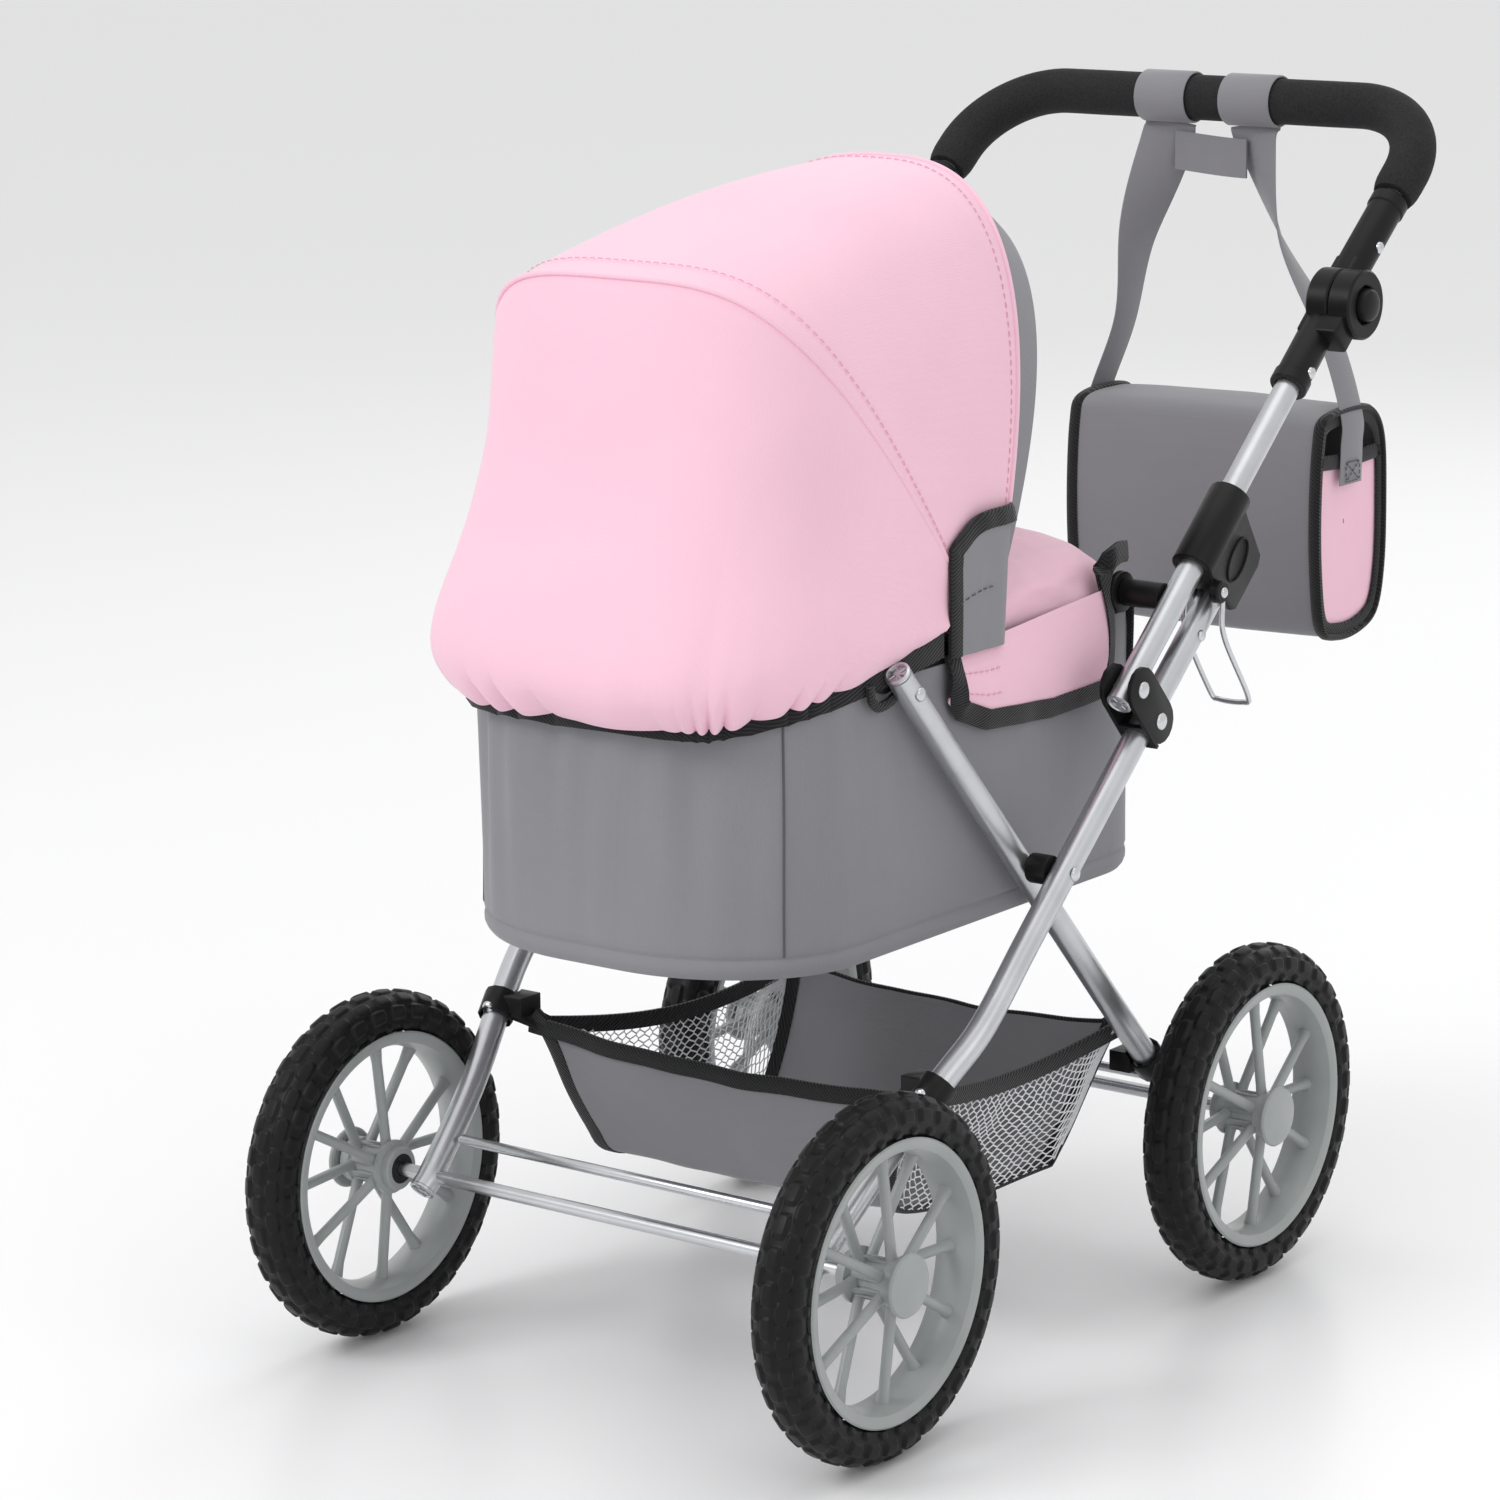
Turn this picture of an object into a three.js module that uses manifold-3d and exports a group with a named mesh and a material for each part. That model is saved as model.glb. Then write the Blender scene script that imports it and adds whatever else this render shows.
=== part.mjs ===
// A doll's pram: a tubular X frame on four spoked wheels, with a soft cot and hood,
// a hammock basket, a tilting foam-covered handle and a bag that hangs from it.
//
// Millimetres, +Z up. The pram faces -Y and is pushed from +Y; left is +X, the pusher's left.
// The model is drawn with the front axle at y = 0 and the floor at z = 0, and the whole of it
// is then moved so that the origin is on the floor, below the middle of its outer box.
import * as THREE from 'three';
import { mergeVertices } from 'three/addons/utils/BufferGeometryUtils.js';
import Module from 'manifold-3d';

const wasm = await Module();
wasm.setup();

// ---------------------------------------------------------------- driving dimensions
const GAP = 0.3; // left between faces that rest on each other
const wheel = { radius: 100, halfTrack: 176.6, base: 370.8, rimRadius: 75, tyreHalfWidth: 14 };
const tube = { radius: 7.5, wall: 1.2, sides: 10 };
const axle = { radius: 4, clearance: 0.15 };
const brace = { radius: 3, front: [18, 118], rear: [354.8, 116] };

// Side view: the handle and the front legs run at one angle, the rear legs cross them.
const legTilt = THREE.MathUtils.degToRad(41.3);
const legX = 161; // front legs and handle tubes
const rearLegX = 132; // rear legs, inside the front legs
const rearLegTop = [83, 405];
const rearLegBend = [330, 135];
const crossing = [198.5, 277.4];
const frontFootX = 135; // the front legs step inwards to the axle
const frontJog = [
  [legX, 118, 206.5],
  [154, 88, 181],
  [142, 45, 140],
  [frontFootX, 0, 100],
];
const clampAt = { front: 0.742, rear: 0.86 }; // share of the leg's length, from its top
const handleFoot = [254, 363.5];
const foldPivot = [262, 370.5];
const legSpacing = 28.2; // from the handle tube's axis to the front leg's axis, square to both
const bracketPin = step(foldPivot, legTilt, 0, -legSpacing);
const frontLegTop = step(bracketPin, legTilt, 94);
const knuckle = [480, 562.6];
const gripTilt = THREE.MathUtils.degToRad(39.5);
const gripReach = 161; // knuckle axis to the middle of the push bar
const gripBend = 55;
const gripRadius = 14;

// Cot: a fabric tub with rounded ends, hung between the legs.
const cot = { halfWidth: 121, front: -22, rear: 362, floor: 248, rim: 400, wall: 2.5 };
const cotFrontCorner = [100, 84];
const cotRearCorner = 55;
const hoodPivot = [178, 409];
const frontBow = { reach: 266, angle: THREE.MathUtils.degToRad(128.6), fullness: 3.8 };
const rimBow = { reach: 262, angle: THREE.MathUtils.degToRad(73), fullness: 2.7 };
const hoodHalfWidth = 125;
const cotHook = [312, 413.5];

const bag = { low: [-76, 562, 338], high: [104, 642, 480], wall: 3 };
const strapX = [-30, 31];

const lengthMiddle = (bag.high[1] - wheel.radius) / 2; // from the front axle to the origin

// ---------------------------------------------------------------- materials
function finish(color, roughness, metalness = 0) {
  return new THREE.MeshStandardMaterial({ color, roughness, metalness });
}
const silver = finish(0xc4c7ca, 0.35, 0.8);
const steel = finish(0xb4b7ba, 0.3, 0.9);
const blackPlastic = finish(0x1b1b1d, 0.45);
const foamRubber = finish(0x17171a, 0.95);
const tyreRubber = finish(0x1a1a1b, 0.8);
const greyPlastic = finish(0x9aa3a4, 0.4);
const greyFabric = finish(0x8c8c93, 0.95);
const pinkFabric = finish(0xf6c6da, 0.9);
const boardFinish = finish(0x8a7a66, 0.8);
const padFabric = finish(0xd9d9de, 0.95);

// ---------------------------------------------------------------- scene graph
const group = new THREE.Group();
const pram = new THREE.Group();
pram.position.y = -lengthMiddle;
group.add(pram);

function add(name, geometry, material) {
  const mesh = new THREE.Mesh(geometry, material);
  mesh.name = name;
  pram.add(mesh);
  return mesh;
}

// ---------------------------------------------------------------- booleans
function toSolid(geometry) {
  const bare = geometry.clone();
  bare.deleteAttribute('normal');
  bare.deleteAttribute('uv');
  const merged = mergeVertices(bare, 1e-4);
  const mesh = new wasm.Mesh({
    numProp: 3,
    vertProperties: new Float32Array(merged.attributes.position.array),
    triVerts: new Uint32Array(merged.index.array),
  });
  return new wasm.Manifold(mesh);
}

function toGeometry(solid) {
  const mesh = solid.getMesh();
  const geometry = new THREE.BufferGeometry();
  geometry.setAttribute('position', new THREE.BufferAttribute(mesh.vertProperties, 3));
  geometry.setIndex(new THREE.BufferAttribute(mesh.triVerts, 1));
  return geometry;
}

function cut(geometry, ...tools) {
  return toGeometry(tools.reduce((solid, tool) => solid.subtract(toSolid(tool)), toSolid(geometry)));
}

function join(...geometries) {
  return toGeometry(geometries.map(toSolid).reduce((a, b) => a.add(b)));
}

function keep(geometry, region) {
  return toGeometry(toSolid(geometry).intersect(toSolid(region)));
}

// ---------------------------------------------------------------- shapes
// A round bar between two points [x, y, z].
function bar(from, to, radius, sides = 16) {
  const a = new THREE.Vector3(...from);
  const b = new THREE.Vector3(...to);
  const geometry = new THREE.CylinderGeometry(radius, radius, a.distanceTo(b), sides);
  const turn = new THREE.Quaternion().setFromUnitVectors(
    new THREE.Vector3(0, 1, 0),
    b.clone().sub(a).normalize(),
  );
  geometry.applyQuaternion(turn);
  const middle = a.add(b).multiplyScalar(0.5);
  return geometry.translate(middle.x, middle.y, middle.z);
}

// A bar along X through [y, z].
function crossBar(x0, x1, [y, z], radius, sides = 16) {
  return bar([Math.min(x0, x1), y, z], [Math.max(x0, x1), y, z], radius, sides);
}

function block(low, high) {
  const size = low.map((value, i) => high[i] - value);
  const middle = low.map((value, i) => (high[i] + value) / 2);
  return new THREE.BoxGeometry(...size).translate(...middle);
}

// A profile of [radius, x] points turned about the X axis through [y, z].
function turned(profile, [y, z], segments, phase = 0) {
  const points = profile.map(([radius, x]) => new THREE.Vector2(radius, x));
  const geometry = new THREE.LatheGeometry(points, segments, phase);
  geometry.rotateZ(-Math.PI / 2);
  return geometry.translate(0, y, z);
}

// A tube of a round section along a path, hollow when it has a wall.
function pipe(path, radius, steps, wall = 0, sides = tube.sides) {
  const section = new THREE.Shape();
  section.absarc(0, 0, radius, 0, Math.PI * 2);
  if (wall > 0) {
    const bore = new THREE.Path();
    bore.absarc(0, 0, radius - wall, 0, Math.PI * 2, true);
    section.holes.push(bore);
  }
  return new THREE.ExtrudeGeometry(section, {
    extrudePath: path,
    steps,
    curveSegments: sides / 2,
    bevelEnabled: false,
  });
}

function pathThrough(points) {
  const curve = new THREE.CatmullRomCurve3(points.map((p) => new THREE.Vector3(...p)));
  curve.curveType = 'centripetal';
  return curve;
}

// A flat outline in the side view, a THREE.Shape of (y, z), given thickness from x0 to x1.
const sideViewTurn = new THREE.Matrix4().makeBasis(
  new THREE.Vector3(0, 1, 0),
  new THREE.Vector3(0, 0, 1),
  new THREE.Vector3(1, 0, 0),
);
function sidePlate(shape, x0, x1, curveSegments = 4) {
  const low = Math.min(x0, x1);
  const depth = Math.abs(x1 - x0);
  const geometry = new THREE.ExtrudeGeometry(shape, { depth, curveSegments, bevelEnabled: false });
  return geometry.applyMatrix4(sideViewTurn).translate(low, 0, 0);
}

// The outline of a strip with round ends from a to b.
function capsule(a, b, radius) {
  const angle = Math.atan2(b[1] - a[1], b[0] - a[0]);
  const shape = new THREE.Shape();
  shape.absarc(b[0], b[1], radius, angle - Math.PI / 2, angle + Math.PI / 2);
  shape.absarc(a[0], a[1], radius, angle + Math.PI / 2, angle + (Math.PI * 3) / 2);
  shape.closePath();
  return shape;
}

// A point in the side view, `along` the direction of an angle and `up` square to it.
function step([y, z], angle, along, up = 0) {
  return [
    y + along * Math.cos(angle) - up * Math.sin(angle),
    z + along * Math.sin(angle) + up * Math.cos(angle),
  ];
}

function polygon(points) {
  return new THREE.Shape(points.map(([y, z]) => new THREE.Vector2(y, z)));
}

// The cot's plan, drawn `outset` mm outside its wall.
function cotPlan(outset = 0) {
  const w = cot.halfWidth + outset;
  const y0 = cot.front - outset;
  const y1 = cot.rear + outset;
  const [rx, ry] = cotFrontCorner;
  const r = cotRearCorner + outset;
  const quarter = Math.PI / 2;
  const shape = new THREE.Shape();
  shape.absarc(w - r, y1 - r, r, 0, quarter);
  shape.absarc(-w + r, y1 - r, r, quarter, 2 * quarter);
  shape.absellipse(-w + rx, y0 + ry, rx, ry, 2 * quarter, 3 * quarter);
  shape.absellipse(w - rx, y0 + ry, rx, ry, 3 * quarter, 4 * quarter);
  shape.closePath();
  return shape;
}

function cotSlice(outset, z0, z1) {
  const options = { depth: z1 - z0, curveSegments: 3, bevelEnabled: false };
  return new THREE.ExtrudeGeometry(cotPlan(outset), options).translate(0, 0, z0);
}

// A closed sheet of even thickness behind a grid of points, rows of THREE.Vector3.
// The thickness is laid on the side that the grid's normals point away from.
function thickSheet(rows, thickness) {
  const height = rows.length;
  const width = rows[0].length;
  const at = (i, j) => rows[THREE.MathUtils.clamp(i, 0, height - 1)][THREE.MathUtils.clamp(j, 0, width - 1)];
  const positions = [];
  const index = [];
  for (const depth of [0, thickness]) {
    for (let i = 0; i < height; i++) {
      for (let j = 0; j < width; j++) {
        const across = at(i, j + 1).clone().sub(at(i, j - 1));
        const down = at(i + 1, j).clone().sub(at(i - 1, j));
        const normal = across.cross(down).normalize();
        const point = at(i, j).clone().addScaledVector(normal, -depth);
        positions.push(point.x, point.y, point.z);
      }
    }
  }
  const far = height * width;
  const quad = (a, b, c, d) => index.push(a, b, c, a, c, d);
  for (let i = 0; i < height - 1; i++) {
    for (let j = 0; j < width - 1; j++) {
      const a = i * width + j;
      const b = a + 1;
      const c = a + width + 1;
      const d = a + width;
      quad(a, b, c, d);
      quad(far + a, far + d, far + c, far + b);
    }
  }
  for (let j = 0; j < width - 1; j++) {
    const last = (height - 1) * width;
    quad(j, far + j, far + j + 1, j + 1);
    quad(last + j + 1, far + last + j + 1, far + last + j, last + j);
  }
  for (let i = 0; i < height - 1; i++) {
    const a = i * width;
    const b = a + width - 1;
    quad(a + width, far + a + width, far + a, a);
    quad(b, far + b, far + b + width, b + width);
  }
  const geometry = new THREE.BufferGeometry();
  geometry.setAttribute('position', new THREE.Float32BufferAttribute(positions, 3));
  geometry.setIndex(index);
  return geometry;
}

const sides = [
  ['left', 1],
  ['right', -1],
];

// ---------------------------------------------------------------- frame
function frontLegPath(side) {
  const straight = [0, 60, 130, 200, 255].map((down) => [legX, ...step(frontLegTop, legTilt, -down)]);
  const points = [...straight, ...frontJog];
  const end = step([0, wheel.radius], legTilt, -9);
  points.push([frontFootX, ...end]);
  return pathThrough(points.map(([x, y, z]) => [x * side, y, z]));
}

function rearLegPath(side) {
  const end = [wheel.base + 6, wheel.radius - 6.5];
  const points = [rearLegTop, crossing, rearLegBend, [wheel.base, wheel.radius], end];
  return pathThrough(points.map(([y, z]) => [rearLegX * side, y, z]));
}

function axleHole(x, [y, z]) {
  const reach = tube.radius + 3;
  return crossBar(x - reach, x + reach, [y, z], axle.radius + axle.clearance);
}

function frontLeg(side) {
  const leg = pipe(frontLegPath(side), tube.radius, 11, tube.wall);
  return cut(leg, axleHole(frontFootX * side, [0, wheel.radius]));
}

function rearLeg(side) {
  const leg = pipe(rearLegPath(side), tube.radius, 6, tube.wall);
  return cut(leg, axleHole(rearLegX * side, [wheel.base, wheel.radius]));
}

// The bush that spaces the two legs where they are riveted together.
function crossingBush(side) {
  const inner = rearLegX + tube.radius + GAP;
  const outer = legX - tube.radius - GAP;
  return crossBar(inner * side, outer * side, crossing, 8.5);
}

function axleRod(y) {
  const reach = wheel.halfTrack + 17;
  return crossBar(-reach, reach, [y, wheel.radius], axle.radius);
}

function braceRod(at, legAt) {
  const reach = legAt - tube.radius - GAP;
  return crossBar(-reach, reach, at, brace.radius, 10);
}

// A plastic clamp round a leg, with the lug that the basket is screwed to.
function basketClamp(path, at, side, lugTowards) {
  const middle = path.getPointAt(at);
  const along = path.getTangentAt(at);
  const end = (distance) => middle.clone().addScaledVector(along, distance).toArray();
  const ring = bar(end(-8), end(8), 10.5, 12);
  const lug = block([-7, -9, -6], [7, 9, 6]);
  lug.translate(middle.x + lugTowards[0] * side, middle.y + lugTowards[1], middle.z + lugTowards[2]);
  return cut(join(ring, lug), bar(end(-20), end(20), tube.radius + 1.6, 12));
}

// ---------------------------------------------------------------- handle
function handleTube(side) {
  const top = step(knuckle, legTilt, -22);
  const leg = pipe(
    new THREE.LineCurve3(
      new THREE.Vector3(legX * side, ...handleFoot),
      new THREE.Vector3(legX * side, ...top),
    ),
    tube.radius,
    1,
    tube.wall,
  );
  return leg;
}

// The two cheeks and the front web that hold the handle's foot on the front leg.
function foldBracket(side) {
  const cheek = capsule(foldPivot, bracketPin, 13);
  const outer = sidePlate(cheek, (legX + tube.radius + GAP) * side, (legX + tube.radius + 3) * side);
  const inner = sidePlate(cheek, (legX - tube.radius - GAP) * side, (legX - tube.radius - 3) * side);
  const square = legTilt - Math.PI / 2;
  const web = polygon([
    step(bracketPin, square, -9, -13),
    step(bracketPin, square, 9, -13),
    step(bracketPin, square, 9, -10.5),
    step(bracketPin, square, -9, -10.5),
  ]);
  const reach = tube.radius + 3;
  const webPlate = sidePlate(web, (legX - reach) * side, (legX + reach) * side);
  const clearance = bar(
    [legX * side, ...step(bracketPin, legTilt, -40)],
    [legX * side, ...step(bracketPin, legTilt, 40)],
    tube.radius + GAP,
  );
  return cut(join(outer, inner, webPlate), clearance);
}

// The sleeve on a tube that ends at the knuckle, and the half of the drum that it carries.
const drum = { radius: 20.5, inner: 159.5, split: 168.4, outer: 183.4 };
function knuckleHalf(side, angle, reach, drumFrom, drumTo, otherHalf) {
  const near = step(knuckle, angle, 12);
  const far = step(knuckle, angle, reach);
  const sleeve = bar([legX * side, ...near], [legX * side, ...far], 10.5, 12);
  const neckFrom = Math.min(drumFrom, legX);
  const neckTo = Math.max(drumTo - 3, legX);
  const neck = sidePlate(
    polygon([
      step(knuckle, angle, 8, -8),
      step(knuckle, angle, 27, -8),
      step(knuckle, angle, 27, 8),
      step(knuckle, angle, 8, 8),
    ]),
    neckFrom * side,
    neckTo * side,
  );
  const disc = crossBar(drumFrom * side, drumTo * side, knuckle, drum.radius, 20);
  const other = crossBar(otherHalf[0] * side, otherHalf[1] * side, knuckle, drum.radius + 0.8, 20);
  const bore = bar(
    [legX * side, ...step(knuckle, angle, 21.5)],
    [legX * side, ...step(knuckle, angle, reach + 5)],
    tube.radius + GAP,
  );
  return cut(join(sleeve, neck, disc), other, bore);
}

function knuckleLower(side) {
  const half = knuckleHalf(side, legTilt + Math.PI, 66.5, drum.split + GAP, drum.outer, [
    drum.inner - 12,
    drum.split + GAP,
  ]);
  const well = crossBar((drum.outer - 7) * side, (drum.outer + 3) * side, knuckle, 10.4, 20);
  return cut(half, well);
}

function knuckleUpper(side) {
  return knuckleHalf(side, gripTilt, 84, drum.inner, drum.split, [drum.split, drum.outer + 12]);
}

// A domed button in the well of the drum's outer half.
function knuckleButton(side) {
  const x = drum.outer * side;
  const dome = turned(
    [
      [0, -3 * side],
      [10, -3 * side],
      [10, 2 * side],
      [7.5, 5 * side],
      [3.5, 6.6 * side],
      [0, 7 * side],
    ],
    knuckle,
    14,
  );
  return toGeometry(toSolid(facingOut(dome)).translate([x, 0, 0]));
}

// Turns the faces of a body right side out when its profile ran the other way.
function facingOut(geometry) {
  const bare = geometry.clone();
  bare.deleteAttribute('normal');
  bare.deleteAttribute('uv');
  const merged = mergeVertices(bare, 1e-4);
  const p = merged.attributes.position;
  const index = merged.index.array;
  let volume = 0;
  for (let i = 0; i < index.length; i += 3) {
    const [a, b, c] = [0, 1, 2].map((k) => new THREE.Vector3().fromBufferAttribute(p, index[i + k]));
    volume += a.dot(b.cross(c));
  }
  if (volume < 0) {
    for (let i = 0; i < index.length; i += 3) {
      [index[i], index[i + 1]] = [index[i + 1], index[i]];
    }
  }
  return merged;
}

// The U of the handle: up one side, across the push bar and down the other side.
class HandleCurve extends THREE.Curve {
  constructor(start) {
    super();
    this.straight = gripReach - start - gripBend;
    this.start = start;
    this.half = legX - gripBend;
    this.arc = (gripBend * Math.PI) / 2;
    this.total = 2 * (this.straight + this.arc + this.half);
  }

  getPoint(t, target = new THREE.Vector3()) {
    const mirrored = t > 0.5;
    let s = (mirrored ? 1 - t : t) * this.total;
    let x = legX;
    let up = this.start + s;
    if (s > this.straight + this.arc) {
      x = legX - gripBend - (s - this.straight - this.arc);
      up = gripReach;
    } else if (s > this.straight) {
      const turn = (s - this.straight) / gripBend;
      x = legX - gripBend * (1 - Math.cos(turn));
      up = gripReach - gripBend + gripBend * Math.sin(turn);
    }
    const [y, z] = step(knuckle, gripTilt, up);
    return target.set(mirrored ? -x : x, y, z);
  }

  getTangent(t, target = new THREE.Vector3()) {
    const d = 1e-4;
    const ahead = this.getPoint(Math.min(1, t + d));
    const behind = this.getPoint(Math.max(0, t - d));
    return target.copy(ahead).sub(behind).normalize();
  }
}

function handlebar() {
  return pipe(new HandleCurve(22), tube.radius, 24, 0, 8);
}

function foamGrip() {
  const section = new THREE.Shape();
  section.absarc(0, 0, gripRadius, 0, Math.PI * 2);
  const bore = new THREE.Path();
  bore.absarc(0, 0, tube.radius + 1.5, 0, Math.PI * 2, true);
  section.holes.push(bore);
  const path = new HandleCurve(87);
  return new THREE.ExtrudeGeometry(section, {
    extrudePath: path,
    steps: 20,
    curveSegments: 5,
    bevelEnabled: false,
  });
}

// ---------------------------------------------------------------- slide lock
const lock = { foot: 88, length: 54, sleeve: 12.5, cheek: 11.2 };
function slideLock(side) {
  const from = step(foldPivot, legTilt, lock.foot);
  const to = step(foldPivot, legTilt, lock.foot + lock.length);
  const sleeve = bar([legX * side, ...from], [legX * side, ...to], lock.sleeve, 20);
  const saddle = polygon([
    step(from, legTilt, 0, 0),
    step(to, legTilt, -6, 0),
    step(to, legTilt, -12, -legSpacing - 9),
    step(to, legTilt, -18, -legSpacing - 12),
    step(from, legTilt, 4, -legSpacing - 12),
    step(from, legTilt, 0, -legSpacing - 8),
  ]);
  const saddlePlate = sidePlate(saddle, (legX - lock.cheek) * side, (legX + lock.cheek) * side);
  const bore = bar(
    [legX * side, ...step(from, legTilt, -5)],
    [legX * side, ...step(to, legTilt, 5)],
    tube.radius + GAP,
    20,
  );
  const channelTop = -legSpacing + tube.radius + 1.2;
  const channel = polygon([
    step(from, legTilt, -5, channelTop),
    step(to, legTilt, -16, channelTop),
    step(to, legTilt, -16, -legSpacing - 30),
    step(from, legTilt, -5, -legSpacing - 30),
  ]);
  const slot = tube.radius + 0.7;
  const channelPlate = sidePlate(channel, (legX - slot) * side, (legX + slot) * side);
  return cut(join(sleeve, saddlePlate), bore, channelPlate);
}

// The wire finger loop below a slide lock: two legs outside the front leg, joined behind it.
function releaseBail(side) {
  const root = step(foldPivot, legTilt, lock.foot - 3, -legSpacing + 6);
  const half = 12.8;
  const foot = [root[0] + 31, root[1] - 66];
  const knee = [root[0] + 2, root[1] - 22];
  const at = (x, [y, z]) => new THREE.Vector3((legX + x) * side, y, z);
  const lead = 5;
  const stops = [
    at(half, root),
    at(half, knee),
    at(half, [foot[0] - lead / 2, foot[1] + lead]),
    at(half - lead, foot),
    at(-half + lead, foot),
    at(-half, [foot[0] - lead / 2, foot[1] + lead]),
    at(-half, knee),
    at(-half, root),
  ];
  return pipe(new THREE.CatmullRomCurve3(stops, false, 'centripetal'), 1.6, 22, 0, 6);
}

// ---------------------------------------------------------------- wheels
const wheelFacets = 32;
const halfFacet = Math.PI / wheelFacets; // turns a wheel so that it stands on a flat facet

function tyre(centre, side) {
  const mid = wheel.halfTrack * side;
  const w = wheel.tyreHalfWidth;
  const r = wheel.radius / Math.cos(halfFacet);
  const seat = wheel.rimRadius + 0.4;
  return facingOut(
    turned(
      [
        [seat, -w + 1],
        [r - 9, -w],
        [r, -w + 7],
        [r, w - 7],
        [r - 9, w],
        [seat, w - 1],
        [seat, -w + 1],
      ],
      centre,
      wheelFacets,
      halfFacet,
    ).translate(mid, 0, 0),
  );
}

// A moulded wheel: a deep rim, a hub, and spokes that lean to either end of the hub.
function spokedWheel([y, z], side) {
  const mid = wheel.halfTrack * side;
  const r = wheel.rimRadius;
  const ring = facingOut(
    turned(
      [
        [r - 6, -12.5],
        [r, -12.5],
        [r, 12.5],
        [r - 6, 12.5],
        [r - 6, -12.5],
      ],
      [y, z],
      wheelFacets,
      halfFacet,
    ),
  );
  const bore = axle.radius + axle.clearance;
  const hub = facingOut(
    turned(
      [
        [bore, -20],
        [13, -20],
        [13, 16.5],
        [bore, 16.5],
        [bore, -20],
      ].map(([radius, x]) => [radius, x * side]),
      [y, z],
      12,
    ),
  );
  const spokes = Array.from({ length: 12 }, (_, i) => {
    const angle = (i * Math.PI) / 6;
    const end = i % 2 ? 9 : -9;
    const at = (x, radius) => [x, y + radius * Math.cos(angle), z + radius * Math.sin(angle)];
    return bar(at(end, 11), at(end * 0.25, r - 3), 3.2, 4);
  });
  const solid = [ring, hub, ...spokes].map(toSolid).reduce((a, b) => a.add(b));
  return toGeometry(solid.translate([mid, 0, 0]));
}

function hubCap([y, z], side) {
  const inner = wheel.halfTrack + 17.3;
  const profile = [
    [0, 0],
    [16, 0],
    [17.5, 1.5],
    [17, 3.4],
    [12, 4.6],
    [0, 5],
  ].map(([radius, x]) => [radius, (inner + x) * side]);
  return facingOut(turned(profile, [y, z], 14));
}

// ---------------------------------------------------------------- cot
function cotTub() {
  return cut(
    cotSlice(0, cot.floor, cot.rim),
    cotSlice(-cot.wall, cot.floor + cot.wall, cot.rim + 10),
  );
}

function cotRim() {
  return cut(cotSlice(0, cot.rim + GAP, cot.rim + 6), cotSlice(-9, cot.rim - 5, cot.rim + 12));
}

function baseBoard() {
  return cotSlice(-6, cot.floor + cot.wall + 0.5, cot.floor + cot.wall + 4.5);
}

function mattress() {
  return cotSlice(-8, cot.floor + cot.wall + 5, cot.floor + cot.wall + 22);
}

// The quilt: a thick top over the rear of the cot, with a skirt down its outside.
const coverFront = 150;
const topFront = 202; // the top starts behind the rim bow
const coverTop = 438;
function cover() {
  const outer = cotSlice(3, 356, coverTop);
  const inside = cotSlice(0.6, 340, cot.rim + 6.4);
  const room = join(
    block([-200, coverFront, 300], [200, 400, cot.rim]),
    block([-200, topFront, cot.rim - 1], [200, 400, 500]),
  );
  const notches = sides.map(([, side]) => {
    const x = [(cot.halfWidth - 2) * side, (cot.halfWidth + 20) * side].sort((a, b) => a - b);
    return block([x[0], cotHook[0] - 17, 340], [x[1], cotHook[0] + 17, cotHook[1] + 14]);
  });
  return cut(keep(outer, room), inside, ...notches);
}

// The bracket that hangs the cot's front on top of a rear leg.
function cotBracket(side) {
  return crossBar((cot.halfWidth + GAP) * side, (rearLegX - tube.radius - GAP) * side, rearLegTop, 11, 20);
}

// The catch on the cot's wall, and the peg on the handle tube that it rests on.
function cotCatch(side) {
  return crossBar((cot.halfWidth + GAP) * side, (cot.halfWidth + 5) * side, cotHook, 12, 20);
}

function cotPeg(side) {
  return crossBar((cot.halfWidth + 6) * side, (legX - tube.radius - GAP) * side, cotHook, 8, 16);
}

// ---------------------------------------------------------------- hood
// A bow is an arch across the hood, hinged at the pivot; `fullness` squares its shoulders.
function power(value, fullness) {
  return Math.sign(value) * Math.abs(value) ** (2 / fullness);
}

function archPoint(u, bow, inset = 0) {
  const x = (hoodHalfWidth - inset) * power(Math.cos(u), bow.fullness);
  const reach = (bow.reach - inset) * power(Math.sin(u), bow.fullness);
  const [y, z] = step(hoodPivot, bow.angle, reach);
  return new THREE.Vector3(x, y, z);
}

// The elastic hem: it follows the cot's rim, bulging out past it and dipping at the front.
const hem = { side: 150, front: -31, dip: 388, sideHeight: 423, fullness: 3.2 };
function hemPoint(u) {
  const across = power(Math.cos(u), hem.fullness);
  const forward = power(Math.sin(u), hem.fullness);
  const rise = Math.max(0, 1 - forward * 1.08) ** 0.8;
  return new THREE.Vector3(
    (hoodHalfWidth + 1.2 + 5 * Math.sin(u)) * across,
    hem.side + (hem.front - hem.side) * forward,
    hem.dip + (hem.sideHeight - hem.dip) * rise,
  );
}

function hoodSheet(rowAt, count) {
  const rows = [];
  const margin = 0.02;
  for (let i = 0; i <= count; i++) {
    const row = [];
    for (let j = 0; j <= 20; j++) {
      const u = THREE.MathUtils.lerp(margin, Math.PI - margin, j / 20);
      row.push(rowAt(i / count, u));
    }
    rows.push(row);
  }
  return facingOut(thickSheet(rows, 2.5));
}

function hoodFrontPanel() {
  return hoodSheet((t, u) => {
    const low = hemPoint(u);
    const high = archPoint(u, frontBow);
    const bulge = 26 * Math.sin(Math.PI * t ** 0.55);
    const point = low.lerp(high, t * 0.994);
    const out = new THREE.Vector3(Math.cos(u), -Math.sin(u), 0);
    return point.addScaledVector(out, bulge * Math.sin(u));
  }, 8);
}

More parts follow.
